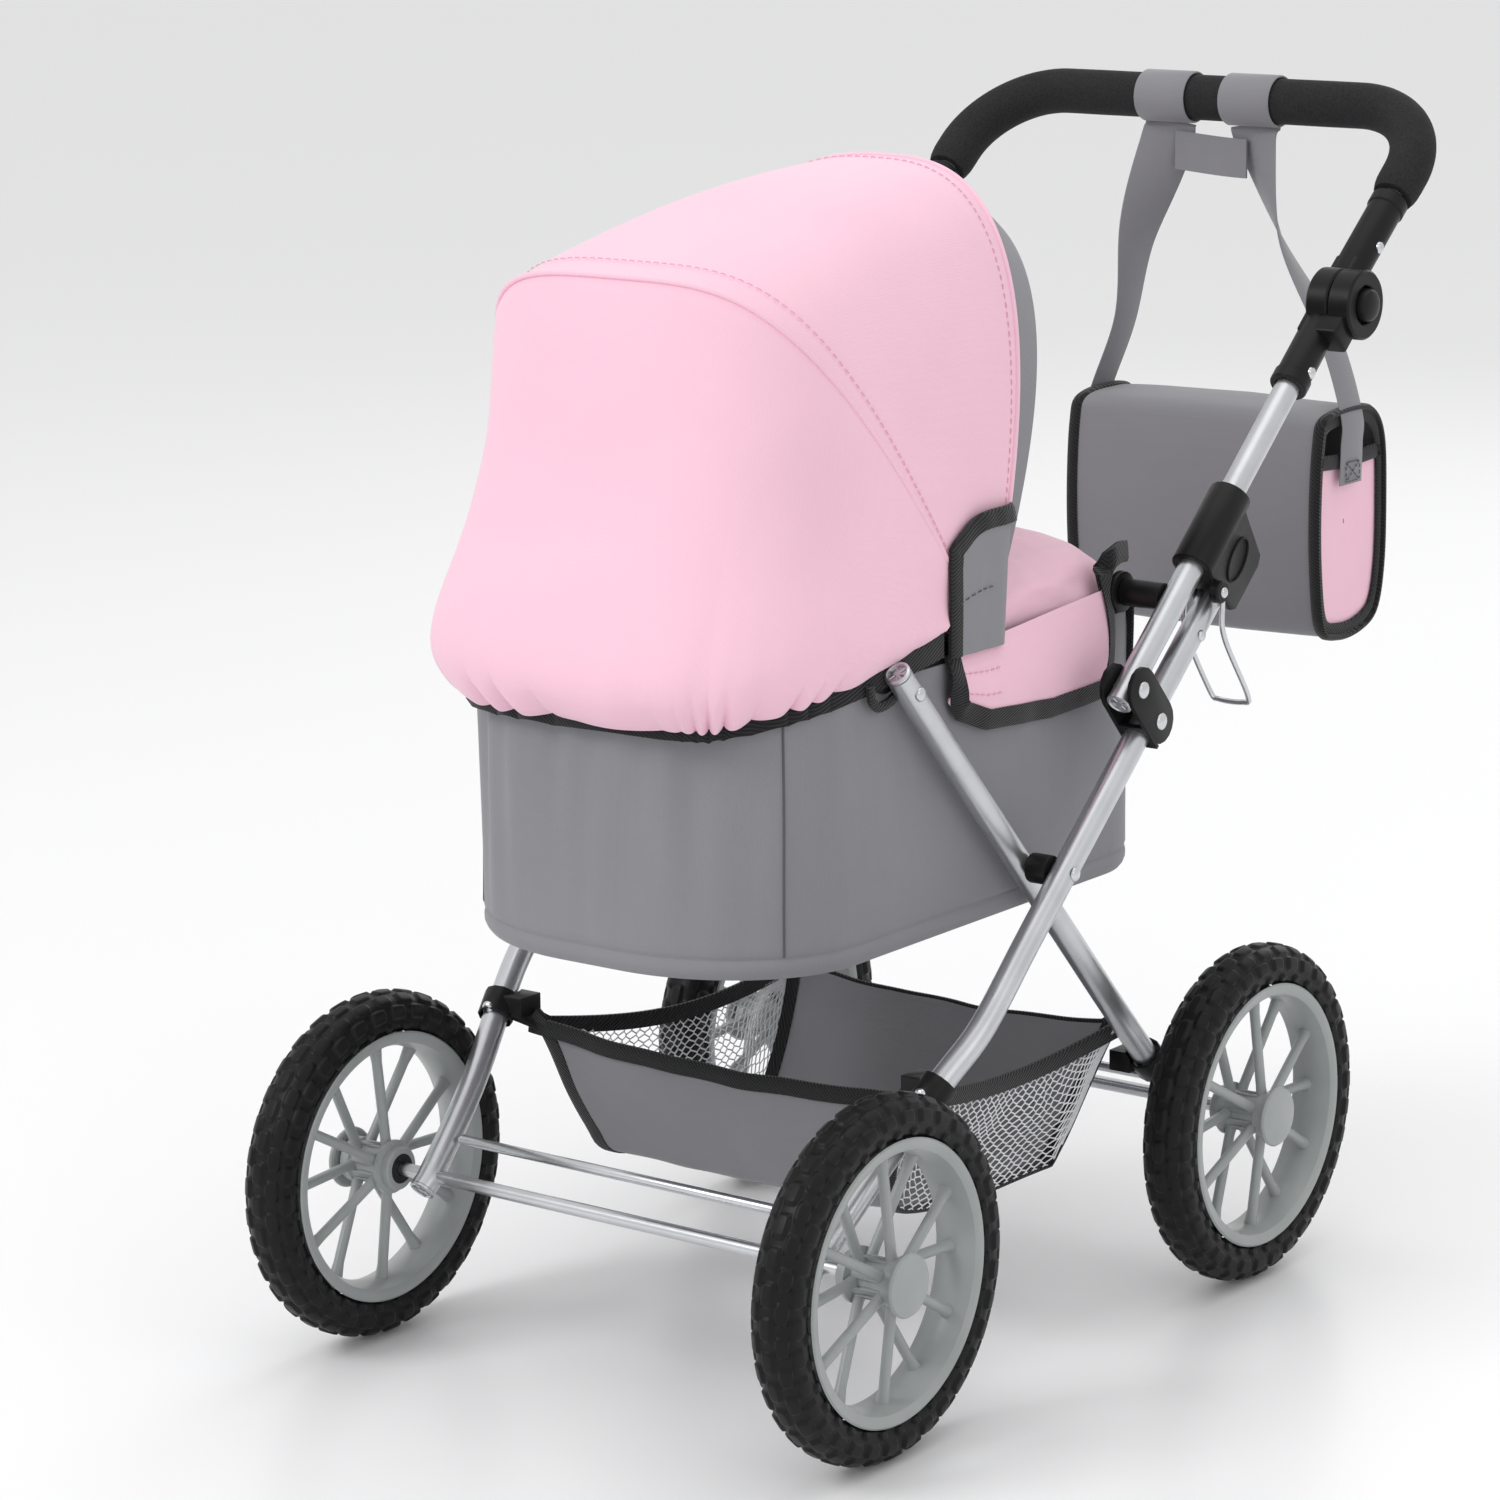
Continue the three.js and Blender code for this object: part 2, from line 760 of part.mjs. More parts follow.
function hoodRearPanel() {
  return hoodSheet((t, u) => {
    const s = 0.006 + 0.994 * t;
    const front = archPoint(u, frontBow);
    const rear = archPoint(u, rimBow);
    const chord = front.clone().lerp(rear, s);
    const angle = THREE.MathUtils.lerp(frontBow.angle, rimBow.angle, s);
    const round = archPoint(u, {
      reach: THREE.MathUtils.lerp(frontBow.reach, rimBow.reach, s),
      angle,
      fullness: THREE.MathUtils.lerp(frontBow.fullness, rimBow.fullness, s),
    });
    return chord.lerp(round, 0.35);
  }, 5);
}

function bowWire(bow) {
  const points = [];
  for (let j = 0; j <= 24; j++) {
    const u = THREE.MathUtils.lerp(0.035, Math.PI - 0.035, j / 24);
    points.push(archPoint(u, bow, 6.5));
  }
  return pipe(new THREE.CatmullRomCurve3(points), 2, 18, 0, 6);
}

// ---------------------------------------------------------------- basket
function frustumCorners(top, bottom, inset, floorRise) {
  const ring = (edge, rise) => [
    [inset - edge.half0, edge.y0 + inset, edge.z0 + rise],
    [edge.half0 - inset, edge.y0 + inset, edge.z0 + rise],
    [edge.half1 - inset, edge.y1 - inset, edge.z1 + rise],
    [inset - edge.half1, edge.y1 - inset, edge.z1 + rise],
  ];
  const low = ring(bottom, floorRise);
  const high = ring(top, 0);
  return [...low, ...high];
}

function basket() {
  const top = { half0: 136, half1: 120, y0: 92, y1: 318, z0: 170, z1: 156 };
  const bottom = { half0: 106, half1: 106, y0: 114, y1: 266, z0: 88, z1: 74 };
  const outer = frustumCorners(top, bottom, 0, 0);
  const inner = frustumCorners(top, bottom, 2.5, 2.5);
  const index = [];
  const quad = (a, b, c, d) => index.push(a, b, c, a, c, d);
  quad(3, 2, 1, 0);
  quad(8, 9, 10, 11);
  for (let i = 0; i < 4; i++) {
    const j = (i + 1) % 4;
    quad(i, j, j + 4, i + 4);
    quad(j + 8, i + 8, i + 12, j + 12);
    quad(i + 4, j + 4, j + 12, i + 12);
  }
  const geometry = new THREE.BufferGeometry();
  geometry.setAttribute('position', new THREE.Float32BufferAttribute([...outer, ...inner].flat(), 3));
  geometry.setIndex(index);
  return geometry;
}

// ---------------------------------------------------------------- bag
// A soft case whose flap closes its top and front; the mouth shows as a slot above each gusset.
function bagBody() {
  const { low, high, wall } = bag;
  const outer = block(low, high);
  const inner = block(
    low.map((v) => v + wall),
    high.map((v) => v - wall),
  );
  const slot = block([low[0] - 5, low[1] + 12, high[2] - 26], [high[0] + 5, high[1] - 12, high[2] - 6]);
  return cut(outer, inner, slot);
}

// The strap: a loop over the push bar for each tail, a tab between them, and the tails
// down to the gussets.
function bagStrap() {
  const barAt = step(knuckle, gripTilt, gripReach);
  const inner = gripRadius + 0.8;
  const outer = inner + 2.2;
  const half = 18;
  const loops = strapX.map((x) =>
    facingOut(
      turned(
        [
          [inner, x - half],
          [outer, x - half],
          [outer, x + half],
          [inner, x + half],
          [inner, x - half],
        ],
        barAt,
        14,
      ),
    ),
  );
  const tabTop = barAt[1] - inner - 1;
  const tab = block(
    [strapX[0] - half, barAt[0] - 1.2, tabTop - 26],
    [strapX[1] + half, barAt[0] + 1.2, tabTop],
  );
  const tailTop = tabTop - 10;
  const tailEnd = bag.high[2] - 42;
  const gussets = [bag.low[0] - 1.6, bag.high[0] + 1.6];
  const tails = strapX.map((x, i) => {
    const outward = i === 0 ? -1 : 1;
    const from = new THREE.Vector2(x, tailTop);
    const to = new THREE.Vector2(gussets[i], bag.high[2] - 4);
    const shape = new THREE.Shape();
    shape.moveTo(from.x - outward * 1.2, from.y);
    shape.lineTo(to.x - outward * 1.2, to.y + 8);
    shape.lineTo(to.x - outward * 1.2, tailEnd);
    shape.lineTo(to.x + outward * 1.2, tailEnd);
    shape.lineTo(to.x + outward * 1.2, to.y + 8);
    shape.lineTo(from.x + outward * 1.6, from.y + 2);
    shape.closePath();
    const strip = new THREE.ExtrudeGeometry(shape, { depth: 30, bevelEnabled: false });
    const upright = new THREE.Matrix4().makeBasis(
      new THREE.Vector3(1, 0, 0),
      new THREE.Vector3(0, 0, 1),
      new THREE.Vector3(0, -1, 0),
    );
    strip.applyMatrix4(upright).translate(0, barAt[0] + 15, 0);
    return facingOut(strip);
  });
  return join(...loops, tab, ...tails);
}

// ---------------------------------------------------------------- assembly
add('front_axle', axleRod(0), steel);
add('rear_axle', axleRod(wheel.base), steel);
add('front_brace', braceRod(brace.front, frontFootX + 1), steel);
add('rear_brace', braceRod(brace.rear, rearLegX), steel);

for (const [name, side] of sides) {
  add(`front_leg_${name}`, frontLeg(side), silver);
  add(`rear_leg_${name}`, rearLeg(side), silver);
  add(`crossing_bush_${name}`, crossingBush(side), blackPlastic);
  const frontClamp = basketClamp(frontLegPath(side), clampAt.front, side, [-12, 6, 2]);
  const rearClamp = basketClamp(rearLegPath(side), clampAt.rear, side, [-12, -4, 0]);
  add(`front_basket_clamp_${name}`, frontClamp, blackPlastic);
  add(`rear_basket_clamp_${name}`, rearClamp, blackPlastic);
  add(`fold_bracket_${name}`, foldBracket(side), blackPlastic);
  add(`handle_tube_${name}`, handleTube(side), silver);
  add(`knuckle_lower_${name}`, knuckleLower(side), blackPlastic);
  add(`knuckle_upper_${name}`, knuckleUpper(side), blackPlastic);
  add(`knuckle_button_${name}`, knuckleButton(side), blackPlastic);
  add(`slide_lock_${name}`, slideLock(side), blackPlastic);
  add(`release_bail_${name}`, releaseBail(side), steel);
  add(`cot_bracket_${name}`, cotBracket(side), blackPlastic);
  add(`cot_catch_${name}`, cotCatch(side), blackPlastic);
  add(`cot_peg_${name}`, cotPeg(side), blackPlastic);
  for (const [end, y] of [
    ['front', 0],
    ['rear', wheel.base],
  ]) {
    const centre = [y, wheel.radius];
    add(`${end}_tyre_${name}`, tyre(centre, side), tyreRubber);
    add(`${end}_wheel_${name}`, spokedWheel(centre, side), greyPlastic);
    add(`${end}_hub_cap_${name}`, hubCap(centre, side), greyPlastic);
  }
}

add('handlebar', handlebar(), silver);
add('foam_grip', foamGrip(), foamRubber);
add('basket', basket(), greyFabric);
add('cot_tub', cotTub(), greyFabric);
add('cot_rim', cotRim(), blackPlastic);
add('base_board', baseBoard(), boardFinish);
add('mattress', mattress(), padFabric);
add('cover', cover(), pinkFabric);
add('hood_front_panel', hoodFrontPanel(), pinkFabric);
add('hood_rear_panel', hoodRearPanel(), pinkFabric);
add('hood_front_bow', bowWire(frontBow), steel);
add('hood_rim_bow', bowWire(rimBow), steel);
add('bag', bagBody(), greyFabric);
add('bag_strap', bagStrap(), greyFabric);

export default group;
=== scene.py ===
"""The looks of a doll's pram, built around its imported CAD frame.

Everything is in metres in the shared frame: +Z up, the pram faces -Y, +X is the pusher's left.
Places that repeat the CAD's driving dimensions are given in millimetres from the front axle
and the floor, and `at` turns them into the shared frame.
"""
import math

import bmesh
import bpy
import numpy as np
from mathutils import Matrix, Vector, noise


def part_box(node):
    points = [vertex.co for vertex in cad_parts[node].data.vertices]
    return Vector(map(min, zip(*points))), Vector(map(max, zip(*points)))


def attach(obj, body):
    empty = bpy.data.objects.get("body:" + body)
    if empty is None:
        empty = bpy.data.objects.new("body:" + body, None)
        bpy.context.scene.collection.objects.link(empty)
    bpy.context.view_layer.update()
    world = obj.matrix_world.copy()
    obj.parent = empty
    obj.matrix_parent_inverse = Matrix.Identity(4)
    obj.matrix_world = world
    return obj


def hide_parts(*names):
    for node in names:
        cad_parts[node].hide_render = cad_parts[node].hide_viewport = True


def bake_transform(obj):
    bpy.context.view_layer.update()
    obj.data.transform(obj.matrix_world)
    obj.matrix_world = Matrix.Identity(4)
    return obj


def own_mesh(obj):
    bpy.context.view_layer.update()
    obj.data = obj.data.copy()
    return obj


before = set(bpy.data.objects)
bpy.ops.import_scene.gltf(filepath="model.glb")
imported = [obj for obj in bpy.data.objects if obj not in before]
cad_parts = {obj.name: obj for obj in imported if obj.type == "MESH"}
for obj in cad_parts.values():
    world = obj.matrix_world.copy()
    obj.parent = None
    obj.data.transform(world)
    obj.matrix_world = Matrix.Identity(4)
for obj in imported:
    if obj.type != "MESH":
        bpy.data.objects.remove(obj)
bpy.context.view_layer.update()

MM = 0.001
SIDES = (("left", 1), ("right", -1))


def middle(node):
    low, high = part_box(node)
    return (low + high) / 2


AXLE = middle("front_axle")
WHEELBASE = (middle("rear_axle").y - AXLE.y) / MM
HALF_TRACK = middle("front_tyre_left").x / MM
WHEEL_RADIUS = middle("front_tyre_left").z / MM


def at(x, y, z):
    """A point given in millimetres from the front axle and the floor, in the shared frame."""
    return Vector((x * MM, AXLE.y + y * MM, z * MM))


# ------------------------------------------------------------ driving dimensions, in mm
LEG_TILT = math.radians(41.3)
GRIP_TILT = math.radians(39.5)
LEG_X = 161
REAR_LEG_X = 132
TUBE = 7.5
REAR_LEG_TOP = (83, 405)
CROSSING = (198.5, 277.4)
HANDLE_FOOT = (254, 363.5)
FOLD_PIVOT = (262, 370.5)
LEG_SPACING = 28.2
KNUCKLE = (480, 562.6)
GRIP_REACH = 161
GRIP_BEND = 55
GRIP_RADIUS = 14
COT = {"half": 121, "front": -22, "rear": 362, "floor": 248, "rim": 400}
COT_FRONT_CORNER = (100, 84)
COT_REAR_CORNER = 55
HOOD_PIVOT = (178, 409)
HOOD_HALF = 125
FRONT_BOW = {"reach": 266, "angle": math.radians(128.6), "fullness": 3.8}
RIM_BOW = {"reach": 262, "angle": math.radians(73), "fullness": 2.7}
HEM = {"side": 150, "front": -31, "dip": 388, "side_height": 423, "fullness": 3.2}
HOOD_CORE = (0, 150, 450)
TUB_COLUMNS = 320
STRAP_X = (-30, 31)


def step(point, angle, along, up=0):
    y, z = point
    return (
        y + along * math.cos(angle) - up * math.sin(angle),
        z + along * math.sin(angle) + up * math.cos(angle),
    )


BRACKET_PIN = step(FOLD_PIVOT, LEG_TILT, 0, -LEG_SPACING)
FRONT_LEG_TOP = step(BRACKET_PIN, LEG_TILT, 94)
BAR = step(KNUCKLE, GRIP_TILT, GRIP_REACH)


# ------------------------------------------------------------ mesh helpers
def linked(name, data):
    """A new object in the scene for a mesh, a lamp or a camera."""
    obj = bpy.data.objects.new(name, data)
    bpy.context.scene.collection.objects.link(obj)
    return obj


def mesh_of(bm, name):
    """A mesh made of a bmesh, which is freed."""
    mesh = bpy.data.meshes.new(name)
    bm.to_mesh(mesh)
    bm.free()
    return mesh


def piece(name, verts, faces, materials, face_material=None, sharp=35):
    """An object from points and faces, smooth but for edges sharper than `sharp` degrees."""
    mesh = bpy.data.meshes.new(name)
    mesh.from_pydata([tuple(v) for v in verts], [], [tuple(f) for f in faces])
    for material in materials:
        mesh.materials.append(material)
    if face_material is not None:
        mesh.polygons.foreach_set("material_index", face_material)
    tidy_normals(mesh)
    mesh.shade_smooth()
    mesh.set_sharp_from_angle(angle=math.radians(sharp))
    return linked(name, mesh)


def tidy_normals(mesh):
    bm = bmesh.new()
    bm.from_mesh(mesh)
    bmesh.ops.recalc_face_normals(bm, faces=bm.faces)
    bm.to_mesh(mesh)
    bm.free()


def grid_normals(rows, wrap=False):
    if wrap:
        across = np.roll(rows, -1, axis=1) - np.roll(rows, 1, axis=1)
    else:
        across = np.gradient(rows, axis=1)
    down = np.gradient(rows, axis=0)
    normal = np.cross(across, down)
    length = np.linalg.norm(normal, axis=2, keepdims=True)
    return normal / np.maximum(length, 1e-9)


def length_of(vectors):
    return np.linalg.norm(vectors, axis=-1, keepdims=True)


def ways(path, closed=False):
    """Which way a path runs at each of its points."""
    run = np.roll(path, -1, axis=0) - np.roll(path, 1, axis=0) if closed else np.gradient(path, axis=0)
    return run / np.maximum(length_of(run), 1e-12)


def tube_faces(rings, sides, closed=False, capped=True):
    """The faces of a tube made of rings of points."""
    faces = []
    for i in range(rings if closed else rings - 1):
        following = (i + 1) % rings
        for j in range(sides):
            k = (j + 1) % sides
            faces.append((i * sides + j, i * sides + k, following * sides + k, following * sides + j))
    if capped and not closed:
        faces.append(tuple(range(sides)))
        faces.append(tuple((rings - 1) * sides + j for j in reversed(range(sides))))
    return faces


def stacked(name, outline, centre, levels, height, material):
    """A closed pad: an outline of (x, y) in mm, drawn in towards `centre` by the share at each level."""
    verts = []
    for z, share in levels:
        for point in outline:
            x, y = centre + (point - centre) * share
            verts.append(at(x, y, height(z, y)))
    return piece(name, verts, tube_faces(len(levels), len(outline)), [material])


def sheet_mesh(name, rows, thickness, materials, inside, wrap=False, sharp=60):
    """A closed sheet of even thickness: `rows` is its outer face, and `inside` a point within."""
    rows = np.array(rows, float)
    height, width = rows.shape[:2]
    normal = grid_normals(rows, wrap)
    outward = np.sum(normal * (rows - np.array(inside)), axis=2).mean()
    if outward < 0:
        normal = -normal
    back = rows - normal * thickness
    verts = np.concatenate([rows.reshape(-1, 3), back.reshape(-1, 3)])
    far = height * width
    faces = []
    kinds = []
    columns = width if wrap else width - 1
    for i in range(height - 1):
        for j in range(columns):
            a = i * width + j
            b = i * width + (j + 1) % width
            c = b + width
            d = a + width
            faces += [(a, b, c, d), (far + d, far + c, far + b, far + a)]
            kinds += [0, min(1, len(materials) - 1)]
    for j in range(columns):
        k = (j + 1) % width
        last = (height - 1) * width
        faces += [(j, far + j, far + k, k), (last + k, far + last + k, far + last + j, last + j)]
        kinds += [0, 0]
    if not wrap:
        for i in range(height - 1):
            a = i * width
            b = a + width - 1
            faces += [(a + width, far + a + width, far + a, a), (b, far + b, far + b + width, b + width)]
            kinds += [0, 0]
    return piece(name, verts, faces, materials, kinds, sharp=sharp)


def catmull(points, count, closed=False):
    """`count` points along a smooth line through `points`."""
    p = np.array([tuple(q) for q in points], float)
    n = len(p)
    spans = n if closed else n - 1
    out = []
    for k in range(count):
        t = k / count * spans if closed else k / (count - 1) * spans
        i = min(int(t), spans - 1)
        f = t - i
        if closed:
            a, b, c, d = (p[(i + o) % n] for o in (-1, 0, 1, 2))
        else:
            b, c = p[i], p[i + 1]
            a = p[i - 1] if i > 0 else 2 * b - c
            d = p[i + 2] if i + 2 < n else 2 * c - b
        out.append(0.5 * (2 * b + (c - a) * f + (2 * a - 5 * b + 4 * c - d) * f * f
                          + (3 * b - a - 3 * c + d) * f ** 3))
    return np.array(out)


def even_pair(points, others, spacing):
    """A line with points an even `spacing` apart, and a second point carried along with each."""
    points, others = (np.array([tuple(p) for p in line], float) for line in (points, others))
    run = np.concatenate([[0], np.cumsum(np.linalg.norm(np.diff(points, axis=0), axis=1))])
    wanted = np.linspace(0, run[-1], max(2, int(round(run[-1] / spacing)) + 1))

    def resampled(line):
        return np.stack([np.interp(wanted, run, line[:, k]) for k in range(3)], axis=1)

    return resampled(points), resampled(others)


def even(points, spacing):
    return even_pair(points, points, spacing)[0]


def carried_ups(tangent):
    """Upright directions carried along a path without twist."""
    start = np.cross(tangent[0], (1, 0, 0))
    if np.linalg.norm(start) < 0.3:
        start = np.cross(tangent[0], (0, 0, 1))
    ups = [start / np.linalg.norm(start)]
    for way in tangent[1:]:
        up = ups[-1] - way * ups[-1].dot(way)
        ups.append(up / np.linalg.norm(up))
    return ups


def sweep(name, path, section, material, ups=None, closed=False, scale=None, sharp=50):
    """A section of (sideways, up) points in metres carried along a path."""
    path = np.array([tuple(p) for p in path], float)
    tangent = ways(path, closed)
    if ups is None:
        ups = carried_ups(tangent)
    verts = []
    for k, point in enumerate(path):
        up = np.array(ups[k], float)
        up = up - tangent[k] * up.dot(tangent[k])
        up /= max(np.linalg.norm(up), 1e-12)
        side = np.cross(tangent[k], up)
        size = 1 if scale is None else scale[k]
        verts += [point + (side * a + up * b) * size for a, b in section]
    return piece(name, verts, tube_faces(len(path), len(section), closed), [material], sharp=sharp)


def ring(radius, sides):
    turns = [2 * math.pi * k / sides for k in range(sides)]
    return [(radius * math.cos(t), radius * math.sin(t)) for t in turns]


def strip_section(width, thickness):
    """A flat section with rounded edges."""
    w = width / 2
    t = thickness / 2
    return [(-w, -t * 0.4), (-w + t, -t), (w - t, -t), (w, -t * 0.4),
            (w, t * 0.4), (w - t, t), (-w + t, t), (-w, t * 0.4)]


def folded_tape(name, path, outs, ins, width, closed, cloth=1.4, thickness=0.8):
    """Binding folded over a cloth's edge: `outs` point out of the cloth's face, `ins` into it."""
    path, outs, ins = (np.array([tuple(p) for p in line], float) for line in (path, outs, ins))
    g = cloth / 2 + 0.15
    h = g + thickness
    half = [(width, g), (width, h), (width * 0.5, h + 0.15), (1.0, h), (-h * 0.6, h * 0.6)]
    other_half = [(a, -b) for a, b in reversed(half)]
    section = half[1:] + [(-h * 0.8, 0)] + other_half + [(0.6, -g), (0, 0), (0.6, g), half[0]]
    run = ways(path, closed)
    ins -= run * np.sum(ins * run, axis=1, keepdims=True)
    ins /= length_of(ins)
    square = np.cross(run, ins)
    outs = square * np.sign(np.sum(square * outs, axis=1, keepdims=True) + 1e-9)
    verts = []
    for point, out, inward in zip(path, outs, ins):
        centre = point - out * cloth / 2 * MM
        verts += [centre + (inward * a + out * b) * MM for a, b in section]
    tape = piece(name, verts, tube_faces(len(path), len(section), closed), [BINDING], sharp=50)
    length = np.linalg.norm(np.diff(path, axis=0), axis=1).sum()
    return tape, (round(length, 3), round((2 * width + 2 * h) * MM, 4))


def bound(name, path, outs, ins, body=None, width=8.5, closed=False):
    """A finished binding, riding on a body where one is named."""
    tape, flat = folded_tape(name, path, outs, ins, width, closed)
    if body:
        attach(tape, body)
    return tape


def tube(name, path, radius, material, sides=24, spacing=0.006):
    return sweep(name, even(path, spacing), ring(radius, sides), material)


def lathe(name, profile, centre, material, segments=64, sharp=30, axis=(1, 0, 0)):
    """A profile of (radius, along) in mm turned about an axis through `centre`."""
    turn = Vector((1, 0, 0)).rotation_difference(Vector(axis)).to_matrix()
    verts = []
    rows = []
    for radius, along in profile:
        if radius < 1e-6:
            rows.append([len(verts)])
            verts.append(centre + turn @ Vector((along * MM, 0, 0)))
            continue
        rows.append(list(range(len(verts), len(verts) + segments)))
        for k in range(segments):
            t = 2 * math.pi * k / segments
            local = Vector((along, radius * math.cos(t), radius * math.sin(t))) * MM
            verts.append(centre + turn @ local)
    faces = []
    for a, b in zip(rows, rows[1:]):
        for k in range(segments):
            l = (k + 1) % segments
            if len(a) == 1 and len(b) == 1:
                continue
            if len(a) == 1:
                faces.append((a[0], b[k], b[l]))
            elif len(b) == 1:
                faces.append((a[k], b[0], a[l]))
            else:
                faces.append((a[k], b[k], b[l], a[l]))
    return piece(name, verts, faces, [material], sharp=sharp)


def joined(name, objects):
    """One mesh object out of several."""
    bm = bmesh.new()
    materials = []
    for obj in objects:
        start = len(bm.faces)
        bm.from_mesh(obj.data)
        bm.faces.ensure_lookup_table()
        for face in bm.faces[start:]:
            material = obj.data.materials[face.material_index]
            if material not in materials:
                materials.append(material)
            face.material_index = materials.index(material)
        bpy.data.objects.remove(obj)
    mesh = mesh_of(bm, name)
    for material in materials:
        mesh.materials.append(material)
    return linked(name, mesh)


def rounded_block(name, low, high, round_by, material):
    """A box with rounded edges, between two corners."""
    bm = bmesh.new()
    bmesh.ops.create_cube(bm, size=1)
    for v in bm.verts:
        v.co = Vector([high[k] if v.co[k] > 0 else low[k] for k in range(3)])
    bmesh.ops.bevel(bm, geom=bm.edges[:], offset=round_by, segments=3, affect="EDGES", profile=0.5)
    mesh = mesh_of(bm, name)
    mesh.materials.append(material)
    mesh.shade_smooth()
    return linked(name, mesh)


def refined(node, material, round_by=0.7):
    """A copy of a CAD solid with its flats made whole and its sharp edges rounded."""
    bm = bmesh.new()
    bm.from_mesh(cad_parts[node].data)
    bmesh.ops.remove_doubles(bm, verts=bm.verts, dist=2e-5)
    bmesh.ops.dissolve_limit(bm, angle_limit=math.radians(1.5), verts=bm.verts, edges=bm.edges)
    bmesh.ops.recalc_face_normals(bm, faces=bm.faces)
    edges = [e for e in bm.edges if e.is_manifold and e.calc_face_angle() > math.radians(38)]
    bmesh.ops.bevel(bm, geom=edges, offset=round_by * MM, segments=2, affect="EDGES",
                    profile=0.5, clamp_overlap=True)
    mesh = mesh_of(bm, node + "_moulding")
    mesh.materials.append(material)
    mesh.shade_smooth()
    mesh.set_sharp_from_angle(angle=math.radians(32))
    return linked(mesh.name, mesh)


def placed(obj, body, slot, *nodes):
    """Puts a finished piece on its body and hides the CAD nodes that it stands for; `slot`, the name of its
    finish, is not used.
    """
    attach(obj, body)
    if nodes:
        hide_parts(*nodes)
    return obj


def moulded(node, body, round_by):
    """A CAD solid shown as a black moulding."""
    return placed(refined(node, BLACK, round_by), body, "black_plastic", node)


def ripple(point, size, seed=0.0):
    """Smooth noise between -1 and 1, with features about `size` metres across."""
    return noise.noise(Vector(point) / size + Vector((seed, seed * 0.7, -seed)))


# ------------------------------------------------------------ materials
class Nodes:
    """Short names for building one material's node tree."""

    def __init__(self, name):
        self.material = bpy.data.materials.new(name)
        self.material.use_nodes = True
        self.tree = self.material.node_tree
        self.shader = self.tree.nodes["Principled BSDF"]

    def add(self, kind, **settings):
        node = self.tree.nodes.new("ShaderNode" + kind)
        for key, value in settings.items():
            setattr(node, key, value)
        return node

    def feed(self, source, node, socket):
        self.tree.links.new(source, node.inputs[socket])

    def value(self, socket, amount):
        self.shader.inputs[socket].default_value = amount

    def colour(self, source, stops):
        """The base colour, from a ramp of colours over a pattern."""
        self.feed(self.colours(source, stops), self.shader, "Base Color")

    def gloss(self, source, low, high):
        """The roughness, spread between two values by a pattern."""
        self.feed(self.spread(source, low, high), self.shader, "Roughness")

    def place(self):
        return self.add("TexCoord").outputs["Object"]

    def grain(self, scale, detail=3.0):
        node = self.add("TexNoise")
        node.inputs["Scale"].default_value = scale
        node.inputs["Detail"].default_value = detail
        node.inputs["Roughness"].default_value = 0.5
        self.feed(self.place(), node, "Vector")
        return node.outputs["Fac"]

    def bands(self, direction, scale):
        node = self.add("TexWave", wave_type="BANDS", bands_direction=direction)
        node.inputs["Scale"].default_value = scale
        node.inputs["Distortion"].default_value = 0.15
        node.inputs["Detail"].default_value = 1
        self.feed(self.place(), node, "Vector")
        return node.outputs["Fac"]

    def maths(self, operation, a, b):
        node = self.add("Math", operation=operation)
        for k, source in enumerate((a, b)):
            if isinstance(source, (int, float)):
                node.inputs[k].default_value = source
            else:
                self.feed(source, node, k)
        return node.outputs[0]

    def spread(self, source, low, high):
        node = self.add("MapRange")
        self.feed(source, node, "Value")
        node.inputs["To Min"].default_value = low
        node.inputs["To Max"].default_value = high
        return node.outputs["Result"]

    def colours(self, source, stops):
        node = self.add("ValToRGB")
        ramp = node.color_ramp
        while len(ramp.elements) < len(stops):
            ramp.elements.new(0.5)
        for element, (position, colour) in zip(ramp.elements, stops):
            element.position = position
            element.color = (*colour, 1)
        self.feed(source, node, "Fac")
        return node.outputs["Color"]

    def product(self, a, b):
        node = self.add("Mix", data_type="RGBA", blend_type="MULTIPLY")
        node.inputs["Factor"].default_value = 1.0
        self.feed(a, node, 6)
        self.feed(b, node, 7)
        return node.outputs[2]

    def bump(self, height, strength, distance):
        node = self.add("Bump")
        node.inputs["Strength"].default_value = strength
        node.inputs["Distance"].default_value = distance
        self.feed(height, node, "Height")
        self.feed(node.outputs["Normal"], self.shader, "Normal")


def tinted(colour, factor):
    return tuple(min(1.0, c * factor) for c in colour)


def cloth(name, colour, thread, relief, sheen, spread=0.07):
    """Woven cloth: crossing threads, a slightly uneven dye and a soft sheen."""
    n = Nodes(name)
    scale = 2 * math.pi / (20 * thread * MM)
    x, y, z = (n.bands(axis, scale) for axis in "XYZ")
    weave = n.maths("ADD", n.maths("MULTIPLY", x, y), n.maths("MULTIPLY", y, z))
    weave = n.maths("ADD", weave, n.maths("MULTIPLY", z, x))
    threads = n.colours(n.spread(weave, 0, 0.6), [
        (0.0, tinted(colour, 1 - spread)), (1.0, tinted(colour, 1 + spread))])
    dye = n.colours(n.grain(7, 4), [(0.3, (0.93, 0.93, 0.94)), (0.7, (1, 1, 1))])
    n.feed(n.product(threads, dye), n.shader, "Base Color")
    n.gloss(n.grain(60), 0.77, 0.93)
    n.value("Sheen Weight", sheen)
    n.value("Sheen Roughness", 0.4)
    n.value("Specular IOR Level", 0.25)
    fuzz = n.maths("ADD", weave, n.maths("MULTIPLY", n.grain(900, 2), 0.6))
    n.bump(fuzz, relief, 0.0005)
    return n.material


